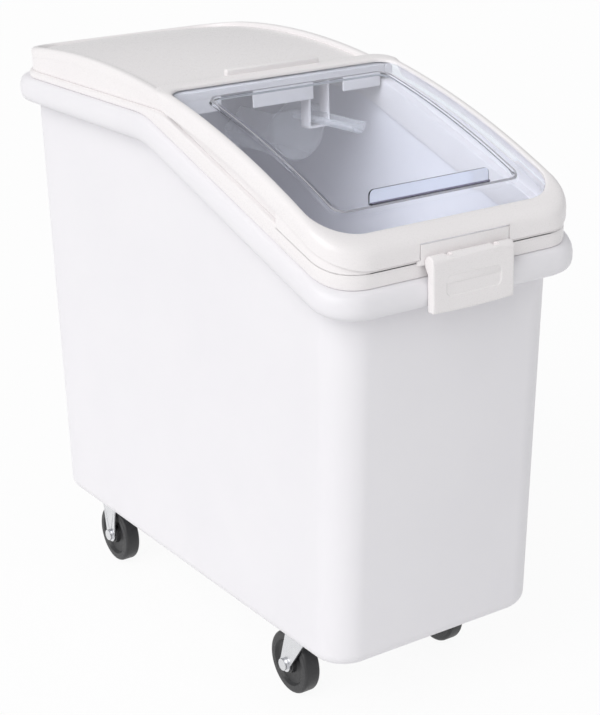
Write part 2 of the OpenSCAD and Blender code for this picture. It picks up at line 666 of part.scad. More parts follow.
// The clear scoop: an open bowl with a slanted mouth and a round handle
module scoop() color([0.85, 0.9, 0.95, 0.5]) at_scoop() {
    difference() {
        translate([-scoop_l, 0, 0]) rotate([90, 0, 90]) linear_extrude(scoop_l) bowl_section(scoop_w, scoop_d);
        translate([-scoop_l - cut, 0, 0]) rotate([90, 0, 90])
            linear_extrude(scoop_l - scoop_t + cut) {
                bowl_section(scoop_w - 2 * scoop_t, scoop_d - scoop_t);
                translate([-scoop_w / 2 + scoop_t, 0]) square([scoop_w - 2 * scoop_t, cut]);
            }
        translate([-scoop_l, 0, -scoop_d * 0.55]) rotate([0, 50, 0])
            translate([-scoop_l, -scoop_w, 0]) cube([scoop_l, 2 * scoop_w, 2 * scoop_d]);
    }
    difference() {
        translate([-scoop_t / 2, 0, 0]) rotate([0, 90, 0]) cylinder(r = handle_w / 2, h = handle_l);
        translate([-scoop_t, -handle_w, 0]) cube([handle_l + 2 * scoop_t, 2 * handle_w, handle_w]);
    }
}

// Caster screws: sixteen self-tapping screws, heads under the plates, blind in the floor pads
module caster_screws() color("silver") at_casters() at_screws() {
    translate([0, 0, plate_z - screw_head_h]) cylinder(r = screw_head_r, h = screw_head_h);
    translate([0, 0, plate_z - cut]) cylinder(r = screw_r, h = plate_t + screw_depth + cut);
}

// Flat plate of a caster with its four screw holes
module plate() difference() {
    translate([-plate_w / 2, -plate_l / 2, plate_z]) cube([plate_w, plate_l, plate_t]);
    at_screws() translate([0, 0, plate_z - cut]) cylinder(r = screw_r + 2 * pin_play, h = plate_t + 2 * cut);
}

// One fork leg: a tapered cheek from top_z down to the axle, its top from y0 to y1
module leg(side, y0, y1, axle_y, top_z) {
    x0 = side > 0 ? leg_in : -leg_out;
    eye = axle_r + 6;
    side_slab(x0, x0 + fork_t, [[y0, top_z], [axle_y - eye, wheel_r], [axle_y + eye, wheel_r], [y1, top_z]]);
    rod(x0, x0 + fork_t, axle_y, wheel_r, eye);
}

// Front caster plate, bored for the kingpin
module front_plate(side) color("silver") translate([side * caster_x, kingpin_y, 0]) difference() {
    plate();
    translate([0, 0, plate_z - cut]) cylinder(r = kingpin_r + pin_play, h = plate_t + 2 * cut);
}

// Swivel race: a pressed ring between the plate and the fork
module front_race(side) color("silver") translate([side * caster_x, kingpin_y, plate_z - race_h]) rotate_extrude()
    polygon([[kingpin_r + 1, 0], [race_r - 1.5, 0], [race_r, 1.5], [race_r, race_h - 1.5], [race_r - 1.5, race_h],
             [kingpin_r + 1, race_h]]);

// Kingpin: riveted flush in the plate, with its head under the fork
module front_kingpin(side) color("silver") translate([side * caster_x, kingpin_y, 0]) {
    translate([0, 0, web_z - swivel_gap]) cylinder(r = kingpin_r, h = caster_h - web_z + swivel_gap);
    translate([0, 0, web_z - swivel_gap - 3.5]) cylinder(r = kingpin_r + 4, h = 3.5);
}

// Front fork: a web that swivels on the kingpin and two legs that trail to the axle
module front_fork(side) color("silver") translate([side * caster_x, kingpin_y, 0]) difference() {
    union() {
        translate([0, 0, web_z]) cylinder(r = race_r + 2, h = fork_t);
        translate([-leg_out, -race_r + 4, web_z]) cube([2 * leg_out, race_r + trail - 8, fork_t]);
        for (s = [-1, 1]) leg(s, -race_r + 4, trail - 4, trail, web_z + fork_t / 2);
    }
    translate([0, 0, web_z - cut]) cylinder(r = kingpin_r + pin_play, h = fork_t + 2 * cut);
    rod(-bin_w, bin_w, trail, wheel_r, axle_r + pin_play);
}

// Rigid rear bracket: the plate and both legs in one pressing
module rear_bracket(side) color("silver") translate([side * caster_x, rear_axle_y, 0]) difference() {
    union() {
        plate();
        for (s = [-1, 1]) leg(s, -plate_l / 4, plate_l / 4, 0, plate_z + plate_t / 2);
    }
    rod(-bin_w, bin_w, 0, wheel_r, axle_r + pin_play);
}

// Axle bolt with its head outside the outer leg
module axle(side, y) color("silver") {
    tip = leg_out + axle_head_h + 2;
    translate([side * caster_x, 0, 0]) mirror([side < 0 ? 1 : 0, 0, 0]) {
        rod(-tip, leg_out + cut, y, wheel_r, axle_r);
        rod(leg_out, leg_out + axle_head_h, y, wheel_r, axle_head_r);
    }
}

// Hexagon nut inside the inner leg
module axle_nut(side, y) color("silver") translate([side * caster_x, 0, 0]) mirror([side < 0 ? 1 : 0, 0, 0])
    difference() {
        translate([-leg_out - axle_head_h, y, wheel_r]) rotate([0, 90, 0])
            cylinder(r = axle_head_r, h = axle_head_h, $fn = 6);
        rod(-2 * leg_out, 0, y, wheel_r, axle_r + pin_play);
    }

// Wheel: a black tread with round shoulders, a dished web and a hub
module wheel(side, y) color("black") translate([side * caster_x, y, wheel_r]) rotate([0, 90, 0]) rotate_extrude($fn = 96) {
    half = wheel_w / 2;
    shoulder = 4;
    rim = wheel_r - 10;
    hub = bush_r + 6;
    dish = 4;
    polygon(concat(
        [[bush_r + pin_play / 2, -hub_w / 2], [hub, -hub_w / 2], [hub + 1, -half + dish], [rim - 2, -half + dish],
         [rim, -half]],
        [for (i = [0 : 6]) let (a = 90 * i / 6)
            [wheel_r - shoulder + shoulder * sin(a), -half + shoulder - shoulder * cos(a)]],
        [for (i = [0 : 6]) let (a = 90 * i / 6)
            [wheel_r - shoulder + shoulder * cos(a), half - shoulder + shoulder * sin(a)]],
        [[rim, half], [rim - 2, half - dish], [hub + 1, half - dish], [hub, hub_w / 2],
         [bush_r + pin_play / 2, hub_w / 2]]));
}

// Bush: the sleeve in the hub that turns on the axle
module bush(side, y) color("dimgray") translate([side * caster_x, 0, 0]) difference() {
    rod(-hub_w / 2, hub_w / 2, y, wheel_r, bush_r);
    rod(-hub_w, hub_w, y, wheel_r, axle_r + pin_play);
}

bin_body();
bin_floor();
lid_ring();
rear_cover();
window_frame();
window_panel();
front_latch();
latch_pin();
scoop_hanger();
scoop();
caster_screws();
front_plate(-1);  // front_plate_left
front_race(-1);  // front_race_left
front_kingpin(-1);  // front_kingpin_left
front_fork(-1);  // front_fork_left
axle(-1, front_axle_y);  // front_axle_left
axle_nut(-1, front_axle_y);  // front_nut_left
wheel(-1, front_axle_y);  // front_wheel_left
bush(-1, front_axle_y);  // front_bush_left
front_plate(1);  // front_plate_right
front_race(1);  // front_race_right
front_kingpin(1);  // front_kingpin_right
front_fork(1);  // front_fork_right
axle(1, front_axle_y);  // front_axle_right
axle_nut(1, front_axle_y);  // front_nut_right
wheel(1, front_axle_y);  // front_wheel_right
bush(1, front_axle_y);  // front_bush_right
rear_bracket(-1);  // rear_bracket_left
axle(-1, rear_axle_y);  // rear_axle_left
axle_nut(-1, rear_axle_y);  // rear_nut_left
wheel(-1, rear_axle_y);  // rear_wheel_left
bush(-1, rear_axle_y);  // rear_bush_left
rear_bracket(1);  // rear_bracket_right
axle(1, rear_axle_y);  // rear_axle_right
axle_nut(1, rear_axle_y);  // rear_nut_right
wheel(1, rear_axle_y);  // rear_wheel_right
bush(1, rear_axle_y);  // rear_bush_right
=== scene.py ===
import math

import bmesh
import bpy
from mathutils import Matrix, Vector


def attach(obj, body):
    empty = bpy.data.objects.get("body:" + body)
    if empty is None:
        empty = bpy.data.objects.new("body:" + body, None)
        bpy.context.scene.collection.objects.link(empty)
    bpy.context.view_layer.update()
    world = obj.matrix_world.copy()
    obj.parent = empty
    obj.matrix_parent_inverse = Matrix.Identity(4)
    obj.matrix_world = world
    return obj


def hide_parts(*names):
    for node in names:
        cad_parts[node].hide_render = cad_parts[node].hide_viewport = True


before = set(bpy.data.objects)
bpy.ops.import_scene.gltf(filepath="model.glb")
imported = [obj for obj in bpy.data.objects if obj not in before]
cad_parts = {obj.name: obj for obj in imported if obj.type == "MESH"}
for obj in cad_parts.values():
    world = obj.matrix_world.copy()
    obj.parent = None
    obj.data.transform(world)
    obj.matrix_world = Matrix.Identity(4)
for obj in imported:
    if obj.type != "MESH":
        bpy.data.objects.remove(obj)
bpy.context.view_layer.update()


# Tub
# One deep moulding in white polyethylene, drafted so that it leaves its mould. Its rolled rim runs level at
# the back, slopes down the sides and is level round the front. Pads inside the floor take the screws.

def each_once(items):
    """The items in their order, each of them once."""
    return list(dict.fromkeys(items))


def plan_loop(half_width, front, back, front_corner, back_corner, side_cuts=44, end_cuts=0, corner_cuts=12):
    """A bmesh with one loop of edges: a rectangle in plan with rounded corners.

    A plan, below, holds the half width, the front, the back and the two radii, in this order.
    """
    bm = bmesh.new()
    half_step = Matrix.Rotation(math.pi / (4 * corner_cuts), 4, "Z")
    bmesh.ops.create_circle(bm, cap_ends=False, segments=4 * corner_cuts, radius=1.0, matrix=half_step)
    for v in bm.verts:
        corner = front_corner if v.co.y < 0 else back_corner
        middle_y = front + front_corner if v.co.y < 0 else back - back_corner
        middle_x = math.copysign(half_width - corner, v.co.x)
        v.co = (middle_x + corner * v.co.x, middle_y + corner * v.co.y, 0)
    sides = [e for e in bm.edges if e.verts[0].co.x * e.verts[1].co.x > 0
             and (e.verts[0].co.y - front - front_corner) * (e.verts[1].co.y - front - front_corner) < 0
             and e.calc_length() > 2 * max(front_corner, back_corner) / corner_cuts]
    ends = [e for e in bm.edges if e.verts[0].co.x * e.verts[1].co.x < 0]
    bmesh.ops.subdivide_edges(bm, edges=sides, cuts=side_cuts)
    if end_cuts:
        bmesh.ops.subdivide_edges(bm, edges=ends, cuts=end_cuts)
    return bm


def read_loop(bm):
    """Numbers the loop's vertices in order and gives their places, outward directions and reach."""
    spot = bm.verts.layers.int.new("spot")
    loose_ends = [v for v in bm.verts if len(v.link_edges) == 1]
    here = loose_ends[0] if loose_ends else bm.verts[:][0]
    order = [here]
    edge = here.link_edges[0]
    while len(order) < len(bm.verts):
        here = edge.other_vert(here)
        order.append(here)
        edge = [e for e in here.link_edges if e is not edge][-1] if len(here.link_edges) > 1 else None
    area = sum(a.co.x * b.co.y - b.co.x * a.co.y for a, b in zip(order, order[1:] + order[:1]))
    if area < 0:
        order.reverse()
    outward = []
    for i, v in enumerate(order):
        v[spot] = i
        before = order[i - 1] if i or not loose_ends else v
        after = order[(i + 1) % len(order)] if i + 1 < len(order) or not loose_ends else v
        along = after.co - before.co
        outward.append(Vector((along.y, -along.x, 0)).normalized())
    places = [v.co.copy() for v in order]
    reach = (max(p.x for p in places), min(p.y for p in places), max(p.y for p in places))
    return places, outward, reach


def part_way(loop, other, share):
    """A loop that lies part of the way from one loop to another with as many spots."""
    places = [a.lerp(b, share) for a, b in zip(loop[0], other[0])]
    outward = [a.lerp(b, share).normalized() for a, b in zip(loop[1], other[1])]
    return places, outward, tuple(a + share * (b - a) for a, b in zip(loop[2], other[2]))


def outline(*sizes):
    """The loop of a rounded rectangle in plan, to carry another loop to."""
    bm = plan_loop(*sizes)
    loop = read_loop(bm)
    bm.free()
    return loop


def on_loop(loop, i, grow, height, inset=(0, 0, 0)):
    """Where a spot of the loop lies, set in at the sides, front and back, grown outward and raised."""
    places, outward, (half_width, front, back) = loop
    side_in, front_in, back_in = inset
    share = (places[i].y - front) / (back - front)
    x = places[i].x * (1 - side_in / half_width) + grow * outward[i].x
    y = front + front_in + share * (back - back_in - front - front_in) + grow * outward[i].y
    return Vector((x, y, height(y) if callable(height) else height))


def loft(bm, loop, rings, change=None):
    """Carries the loop of edges through the rings and gives back its first and last edges.

    A ring gives grow, height and inset, or the loop that it lies on and then these.
    """
    spot = bm.verts.layers.int["spot"]
    first = [e for e in bm.edges if e.is_wire]
    edges = first
    moved = each_once(v for e in edges for v in e.verts)
    for k, ring in enumerate(rings):
        if k:
            made = bmesh.ops.extrude_edge_only(bm, edges=edges)["geom"]
            moved = [g for g in made if isinstance(g, bmesh.types.BMVert)]
            fresh = set(moved)
            edges = [g for g in made if isinstance(g, bmesh.types.BMEdge) and fresh.issuperset(g.verts)]
        base, *place = ring if isinstance(ring[0], tuple) else (loop, *ring)
        for v in moved:
            v.co = on_loop(base, v[spot], *place)
            if change:
                change(v)
    return first, edges


def block(bm, low, high, edge):
    """A box between two corners, with rounded edges; gives its vertices."""
    low = Vector(low)
    high = Vector(high)
    place = Matrix.Translation((low + high) / 2) @ Matrix.Diagonal((*(high - low), 1))
    made = bmesh.ops.create_cube(bm, size=1.0, matrix=place)["verts"]
    rim = each_once(e for v in made for e in v.link_edges)
    return bmesh.ops.bevel(bm, geom=rim, offset=edge, offset_type="OFFSET", segments=3, profile=0.5,
                           affect="EDGES", material=-1)["verts"]


def finish_piece(name, bm, body, material, nodes, sharp=38):
    """Turns the bmesh into an object that rides on its body and stands for its CAD nodes."""
    bmesh.ops.remove_doubles(bm, verts=bm.verts[:], dist=0.000002)
    bmesh.ops.recalc_face_normals(bm, faces=bm.faces[:])
    mesh = bpy.data.meshes.new(name)
    bm.to_mesh(mesh)
    bm.free()
    mesh.shade_smooth()
    mesh.set_sharp_from_angle(angle=math.radians(sharp))
    mesh.materials.append(material)
    piece = bpy.data.objects.new(name, mesh)
    bpy.context.scene.collection.objects.link(piece)
    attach(piece, body)
    if nodes:
        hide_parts(*nodes)
    return piece


def eased(y, y0, z0, y1, z1):
    """Height of a line that is level up to y0, slopes to y1 and is level beyond, with soft bends."""
    reach = 6
    step = 0.004
    total = 0
    for k in range(-reach, reach + 1):
        at = min(1, max(0, (y + step * k - y0) / (y1 - y0)))
        total += (reach + 1 - abs(k)) * (z0 + (z1 - z0) * at)
    return total / (reach + 1) ** 2


skin_group = bpy.data.node_groups.new("moulded_skin", "ShaderNodeTree")
for name, kind in (("Colour", "Color"), ("Shade", "Color"), ("Grain size", "Float"), ("Smoothest", "Float"),
                   ("Roughest", "Float")):
    skin_group.interface.new_socket(name, in_out="INPUT", socket_type=f"NodeSocket{kind}")
for name, kind in (("Colour", "Color"), ("Roughness", "Float"), ("Height", "Float")):
    skin_group.interface.new_socket(name, in_out="OUTPUT", socket_type=f"NodeSocket{kind}")
skin_in = skin_group.nodes.new("NodeGroupInput")
skin_out = skin_group.nodes.new("NodeGroupOutput")
skin_place = skin_group.nodes.new("ShaderNodeTexCoord")
skin_cloud = skin_group.nodes.new("ShaderNodeTexNoise")
skin_cloud.inputs["Scale"].default_value = 7.0
skin_cloud.inputs["Detail"].default_value = 4.0
skin_grain = skin_group.nodes.new("ShaderNodeTexNoise")
skin_grain.inputs["Detail"].default_value = 3.0
skin_spread = skin_group.nodes.new("ShaderNodeMapRange")
skin_spread.inputs["From Min"].default_value = 0.35
skin_spread.inputs["From Max"].default_value = 0.7
skin_tint = skin_group.nodes.new("ShaderNodeMix")
skin_tint.data_type = "RGBA"
skin_gloss = skin_group.nodes.new("ShaderNodeMapRange")
skin_gloss.inputs["From Min"].default_value = 0.3
skin_gloss.inputs["From Max"].default_value = 0.7
skin_group.links.new(skin_place.outputs["Object"], skin_cloud.inputs["Vector"])
skin_group.links.new(skin_place.outputs["Object"], skin_grain.inputs["Vector"])
skin_group.links.new(skin_in.outputs["Grain size"], skin_grain.inputs["Scale"])
skin_group.links.new(skin_cloud.outputs["Fac"], skin_spread.inputs["Value"])
skin_group.links.new(skin_spread.outputs["Result"], skin_tint.inputs["Factor"])
skin_group.links.new(skin_in.outputs["Colour"], skin_tint.inputs["A"])
skin_group.links.new(skin_in.outputs["Shade"], skin_tint.inputs["B"])
skin_group.links.new(skin_grain.outputs["Fac"], skin_gloss.inputs["Value"])
skin_group.links.new(skin_in.outputs["Smoothest"], skin_gloss.inputs["To Min"])
skin_group.links.new(skin_in.outputs["Roughest"], skin_gloss.inputs["To Max"])
skin_group.links.new(skin_tint.outputs["Result"], skin_out.inputs["Colour"])
skin_group.links.new(skin_gloss.outputs["Result"], skin_out.inputs["Roughness"])
skin_group.links.new(skin_grain.outputs["Fac"], skin_out.inputs["Height"])


def moulded(name, colour, shade, grain, smoothest, roughest, relief):
    """A moulded plastic with faint clouding and a fine mould grain."""
    material = bpy.data.materials.new(name)
    material.use_nodes = True
    tree = material.node_tree
    shader = tree.nodes["Principled BSDF"]
    skin = tree.nodes.new("ShaderNodeGroup")
    skin.node_tree = bpy.data.node_groups["moulded_skin"]
    skin.inputs["Colour"].default_value = (*colour, 1)
    skin.inputs["Shade"].default_value = (*shade, 1)
    skin.inputs["Grain size"].default_value = grain
    skin.inputs["Smoothest"].default_value = smoothest
    skin.inputs["Roughest"].default_value = roughest
    bump = tree.nodes.new("ShaderNodeBump")
    bump.inputs["Strength"].default_value = 0.35
    bump.inputs["Distance"].default_value = relief
    tree.links.new(skin.outputs["Colour"], shader.inputs["Base Color"])
    tree.links.new(skin.outputs["Roughness"], shader.inputs["Roughness"])
    tree.links.new(skin.outputs["Height"], bump.inputs["Height"])
    tree.links.new(bump.outputs["Normal"], shader.inputs["Normal"])
    return material


tub_white = moulded("tub_white", (0.88, 0.866, 0.895), (0.862, 0.848, 0.88), 900.0, 0.34, 0.46, 0.00006)
tub_white.node_tree.nodes["Principled BSDF"].inputs["IOR"].default_value = 1.5

tub_plan = (0.145, -0.3395, 0.3495, 0.042, 0.042)
tub_wall = 0.004
tub_floor = 0.093
floor_thick = 0.005
bottom_draft = (0.0015, 0.024, 0.0115)
bottom_round = 0.016
rim_plan = (0.167, -0.3615, 0.3715, 0.046, 0.061)
slope_start = -0.3455
rim_slope_end = 0.0156
rim_low = 0.504
rim_high = 0.626
bead_tall = 0.031
bead_line = ((0, 0.30), (0.02, 0.20), (0.08, 0.11), (0.2, 0.05), (0.38, 0.01), (0.58, 0), (0.74, 0.03),
             (0.87, 0.1), (0.96, 0.22), (1, 0.38), (1, 0.6), (0.97, 0.76), (0.9, 0.88), (0.78, 0.965),
             (0.62, 1), (0.2, 1), (0, 1))
wall_top = 0.2 * bead_tall
caster_x = 0.105
front_pad_y = -0.206
rear_pad_y = 0.253
pad_half_wide = 0.022
pad_half_long = 0.036
pad_low = 0.0045
pad_top = 0.013
pad_edge = 0.003


def rim_height(y):
    """Height of the rolled rim's lower edge."""
    return eased(y, slope_start, rim_low, rim_slope_end, rim_high)


def over_rim(rise):
    return lambda y: rim_height(y) + rise


def bottom_rings(grow, low, radius):
    """The rounded bottom edge, from the floor out and up to the wall."""
    rings = []
    for k in range(9):
        turn = math.radians(90 * k / 8)
        inward = radius * (1 - math.sin(turn))
        up = radius * (1 - math.cos(turn))
        rings.append((grow - inward, low + up, bottom_draft))
    return rings


def wall_rings(grow):
    """The drafted wall, from the bottom edge up to the rim."""
    low = tub_floor + bottom_round
    rings = []
    for k in range(1, 11):
        share = k / 11
        inset = tuple(d * (1 - share) for d in bottom_draft)
        rings.append((grow, lambda y, share=share: low + share * (rim_height(y) + wall_top - low), inset))
    return rings


tub_mesh = plan_loop(*tub_plan)
tub_loop = read_loop(tub_mesh)
rim_loop = outline(*rim_plan)
tub_rings = bottom_rings(0, tub_floor, bottom_round) + wall_rings(0)
for out, up in bead_line:
    tub_rings.append((part_way(tub_loop, rim_loop, out), 0, over_rim(bead_tall * up)))
tub_rings.append((-tub_wall, over_rim(bead_tall)))
tub_rings += reversed(wall_rings(-tub_wall))
tub_rings += reversed(bottom_rings(-tub_wall, tub_floor + floor_thick, bottom_round - tub_wall))
for ends in loft(tub_mesh, tub_loop, tub_rings):
    bmesh.ops.edgeloop_fill(tub_mesh, edges=ends)
for x in (-caster_x, caster_x):
    for y in (front_pad_y, rear_pad_y):
        pad_near = (x - pad_half_wide, y - pad_half_long, tub_floor + pad_low)
        pad_far = (x + pad_half_wide, y + pad_half_long, tub_floor + pad_top)
        block(tub_mesh, pad_near, pad_far, pad_edge)
finish_piece("tub", tub_mesh, "bin", tub_white, ["bin_body", "bin_floor"])


# Lid ring
# A white moulded ring that lies on the rim all the way round, with a skirt down inside the tub. It carries
# the tongue that shows in the window's notch and the two ears of the latch.

lid_white = moulded("lid_white", (0.912, 0.884, 0.888), (0.897, 0.868, 0.873), 1100.0, 0.24, 0.36, 0.00004)
lid_white.node_tree.nodes["Principled BSDF"].inputs["IOR"].default_value = 1.5

crest_y = 0.18575
arc_z = -0.485934
seat = 1.17393
ledge_slope_end = -0.0214
ledge_low = 0.555
ledge_high = 0.665
ring_plan = (0.1595, -0.354, 0.362, 0.045, 0.068)
ring_low = 0.03145
skirt_plan = (0.14, -0.3345, 0.3445, 0.037, 0.037)
skirt_low = 0.017
shoulder_back = -0.2505
shoulder_foot = -0.004
tongue = ((-0.057, -0.357, 0.549), (0.057, -0.3544, 0.571))
tongue_foot = ((-0.0605, -0.3565, 0.549), (0.0605, -0.3525, 0.555))
pivot_y = -0.3644
pivot_z = 0.553
ear_x = 0.03
ear_half = 0.004
ear_round = 0.0038
ear_back = -0.3532


def arc_height(y, radius):
    """Height of a curve about the axis that the window slides round."""
    return arc_z + math.sqrt(radius * radius - (y - crest_y) ** 2)


def ledge_height(y):
    """Height of the ring's flat top, which the rear cover's walls stand on."""
    return eased(y, slope_start, ledge_low, ledge_slope_end, ledge_high)


def over_ledge(rise):
    return lambda y: ledge_height(y) + rise


def under_skirt(drop):
    """Height just under the window frame's skirt, or just under the ledge where that is higher."""
    return lambda y: max(ledge_height(y) - 0.001, arc_height(y, seat) - drop)


def join(bm, other):
    """Adds another bmesh to this one."""
    shape = bpy.data.meshes.new("joined")
    other.to_mesh(shape)
    other.free()
    bm.from_mesh(shape)
    bpy.data.meshes.remove(shape)


def turned(middle, height, radius, turns):
    """Points round a middle, at the given turns in degrees."""
    angles = [math.radians(a) for a in turns]
    return [(middle + radius * math.cos(a), height + radius * math.sin(a)) for a in angles]


def prism(bm, side_view, x0, x1, edge):
    """A side view in Y and Z carried across from x0 to x1, with rounded edges."""
    near = [bm.verts.new((x0, y, z)) for y, z in side_view]
    flat = bm.faces.new(near)
    made = bmesh.ops.extrude_face_region(bm, geom=[flat], use_keep_orig=True)["geom"]
    far = [g for g in made if isinstance(g, bmesh.types.BMVert)]
    bmesh.ops.translate(bm, verts=far, vec=(x1 - x0, 0, 0))
    rim = each_once(e for v in near + far for e in v.link_edges)
    bmesh.ops.recalc_face_normals(bm, faces=each_once(f for v in near + far for f in v.link_faces))
    bmesh.ops.bevel(bm, geom=rim, offset=edge, offset_type="OFFSET", segments=3, profile=0.5,
                    affect="EDGES", material=-1)


ring_mesh = plan_loop(*ring_plan)
ring_loop = read_loop(ring_mesh)
skirt_loop = outline(*skirt_plan)
ring_first, ring_last = loft(ring_mesh, ring_loop, [
    (-0.0008, over_rim(ring_low)), (-0.0002, over_rim(ring_low + 0.00045)),
    (0, over_rim(ring_low + 0.00135)), (0, over_ledge(-0.003)),
    (-0.0003, over_ledge(-0.0016)), (-0.0011, over_ledge(-0.0005)),
    (-0.0025, over_ledge(0)), (part_way(ring_loop, skirt_loop, 0.4), 0, over_ledge(0)),
    (part_way(ring_loop, skirt_loop, 0.7), 0, over_ledge(0)), (skirt_loop, 0.001, over_ledge(0)),
    (skirt_loop, 0, over_ledge(-0.001)), (skirt_loop, -0.003, over_rim(skirt_low + 0.001)),
    (skirt_loop, -0.0025, over_rim(skirt_low)), (skirt_loop, -0.0005, over_rim(skirt_low)),
    (skirt_loop, 0, over_rim(skirt_low + 0.001)), (skirt_loop, 0, over_rim(ring_low))])
bmesh.ops.bridge_loops(ring_mesh, edges=ring_first + ring_last)

shoulder_mesh = plan_loop(*ring_plan)
bmesh.ops.bisect_plane(shoulder_mesh, geom=shoulder_mesh.verts[:] + shoulder_mesh.edges[:],
                       plane_co=(0, shoulder_back, 0), plane_no=(0, 1, 0), clear_outer=True)
shoulder_loop = read_loop(shoulder_mesh)
shoulder_first, shoulder_last = loft(shoulder_mesh, shoulder_loop, [
    (0, over_ledge(shoulder_foot)), (0, under_skirt(0.0016)), (-0.0005, under_skirt(0.0006)),
    (-0.0016, under_skirt(0.0001)), (-0.0070, under_skirt(0.0001)), (-0.0075, under_skirt(0.0006)),
    (-0.0075, over_ledge(shoulder_foot))])
bmesh.ops.bridge_loops(shoulder_mesh, edges=shoulder_first + shoulder_last)
bmesh.ops.holes_fill(shoulder_mesh, edges=[e for e in shoulder_mesh.edges if e.is_boundary], sides=0)
join(ring_mesh, shoulder_mesh)

block(ring_mesh, *tongue, 0.0008)
block(ring_mesh, *tongue_foot, 0.0006)
ear_view = turned(pivot_y, pivot_z, ear_round, range(270, 89, -15))
ear_view += [(ear_back, pivot_z + ear_round), (ear_back, pivot_z - ear_round)]
for x in (-ear_x, ear_x):
    prism(ring_mesh, ear_view, x - ear_half, x + ear_half, 0.0003)
finish_piece("lid_ring_moulding", ring_mesh, "bin", lid_white, ["lid_ring"])


# Rear cover
# The fixed back half of the lid, in the same white plastic: low walls on the ring's ledge, raised lips that
# the window rides on, a crowned sheet between them, and a shelf with a slotted apron at its front edge.

lip_top = 1.18593
cover_front = -0.0259
cover_plan = (0.1535, -0.34125, 0.3580, 0.059, 0.0595)
cover_wall = 0.003
cover_lift = 0.0003
lip_plan = (0.154, cover_front - 0.02, 0.3585, 0.004, 0.060)
sheet_front = cover_front + 0.002
sheet_back = 0.3555
sheet_half = 0.151
sheet_corner = 0.057
sheet_drop = 0.0016
sheet_crown = 0.004
sheet_thick = 0.003
shelf_back = -0.008
shelf_view = [(cover_front, 0.6715), (cover_front, 0.6810), (shelf_back, 0.6841), (shelf_back, 0.6740)]
shelf_half = 0.1425
apron_front = cover_front + 0.0002
apron_back = cover_front + 0.003
apron_parts = ((-0.041, 0.041, 0.6535, 0.677), (-0.1366, -0.083, 0.6565, 0.674),
               (0.083, 0.1366, 0.6565, 0.674))


def on_arc(radius):
    return lambda y: arc_height(y, radius)


wall_mesh = plan_loop(*cover_plan)
wall_loop = read_loop(wall_mesh)
wall_first, wall_last = loft(wall_mesh, wall_loop, [
    (0, over_ledge(cover_lift)), (0, on_arc(seat)), (-cover_wall, on_arc(seat)),
    (-cover_wall, over_ledge(cover_lift))])
bmesh.ops.bridge_loops(wall_mesh, edges=wall_first + wall_last)

cover_mesh = plan_loop(*lip_plan)
bmesh.ops.bisect_plane(cover_mesh, geom=cover_mesh.verts[:] + cover_mesh.edges[:],
                       plane_co=(0, cover_front, 0), plane_no=(0, -1, 0), clear_outer=True)
lip_loop = read_loop(cover_mesh)
lip_first, lip_last = loft(cover_mesh, lip_loop, [
    (0, on_arc(seat)), (0, on_arc(lip_top - 0.0045)), (-0.0004, on_arc(lip_top - 0.0026)),
    (-0.0014, on_arc(lip_top - 0.0011)), (-0.0028, on_arc(lip_top - 0.0003)), (-0.0045, on_arc(lip_top)),
    (-0.0075, on_arc(lip_top)), (-0.0092, on_arc(lip_top - 0.0004)), (-0.0104, on_arc(lip_top - 0.0015)),
    (-0.011, on_arc(lip_top - 0.003)), (-0.011, on_arc(lip_top - 0.009)), (-0.0105, on_arc(seat))])
bmesh.ops.bridge_loops(cover_mesh, edges=lip_first + lip_last)
bmesh.ops.holes_fill(cover_mesh, edges=[e for e in cover_mesh.edges if e.is_boundary], sides=0)
join(cover_mesh, wall_mesh)

sheet_grid = bmesh.ops.create_grid(cover_mesh, x_segments=28, y_segments=44, size=1.0)["verts"]
sheet_faces = each_once(f for v in sheet_grid for f in v.link_faces)
for v in sheet_grid:
    y = sheet_front + (sheet_back - sheet_front) * (v.co.y + 1) / 2
    past = max(0, y - (sheet_back - sheet_corner))
    x = v.co.x * (sheet_half - sheet_corner + math.sqrt(max(0, sheet_corner ** 2 - past ** 2)))
    v.co = (x, y, arc_height(y, lip_top - sheet_drop - sheet_crown * (x / sheet_half) ** 2))
sheet_made = bmesh.ops.extrude_face_region(cover_mesh, geom=sheet_faces, use_keep_orig=True)["geom"]
sheet_under = [g for g in sheet_made if isinstance(g, bmesh.types.BMVert)]
bmesh.ops.translate(cover_mesh, verts=sheet_under, vec=(0, 0, -sheet_thick))
prism(cover_mesh, shelf_view, -shelf_half, shelf_half, 0.0004)
for x0, x1, low, top in apron_parts:
    block(cover_mesh, (x0, apron_front, low), (x1, apron_back, top), 0.0008)
finish_piece("cover_moulding", cover_mesh, "bin", lid_white, ["rear_cover"])


# Window frame
# The white frame of the sliding front half: an inverted channel with a rounded top that rides over the
# lips. It is notched at the front over the ring's tongue and has a thumb lug on its back bar.

frame_under = 1.18943
frame_top = 1.19293
frame_front = -0.357
frame_plan = (0.1625, frame_front, -0.0004, 0.050, 0.024)
frame_wall = (0.003, 0.003, 0.003)
frame_bar = (0.0115, 0.0240, 0.0200)
skirt_gap = 0.0004
skirt_back = -0.036
skirt_run = 0.010
notch_half = 0.0582
notch_top = 0.5722
notch_back = -0.34
notch_edge = 0.0001
lug_box = ((-0.063, -0.0064, 0.6885), (0.063, 0.0012, 0.6985))
lug_middle = (0, -0.002, 0.693)
lug_slope = 0.158


def frame_low(y):
    """Radius of the skirt's lower edge, which rises to the bar at the back."""
    share = min(1, max(0, (y - skirt_back) / skirt_run))
    return seat + skirt_gap + share * (frame_under - seat - 2 * skirt_gap)


def up_frame(share):
    return lambda y: arc_height(y, frame_low(y) + (frame_top - frame_low(y)) * share)


def cut_notch(v):
    """Lifts the skirt over the ring's tongue."""
    if v.co.y < notch_back and abs(v.co.x) < notch_half and v.co.z < notch_top:
        v.co.z = notch_top


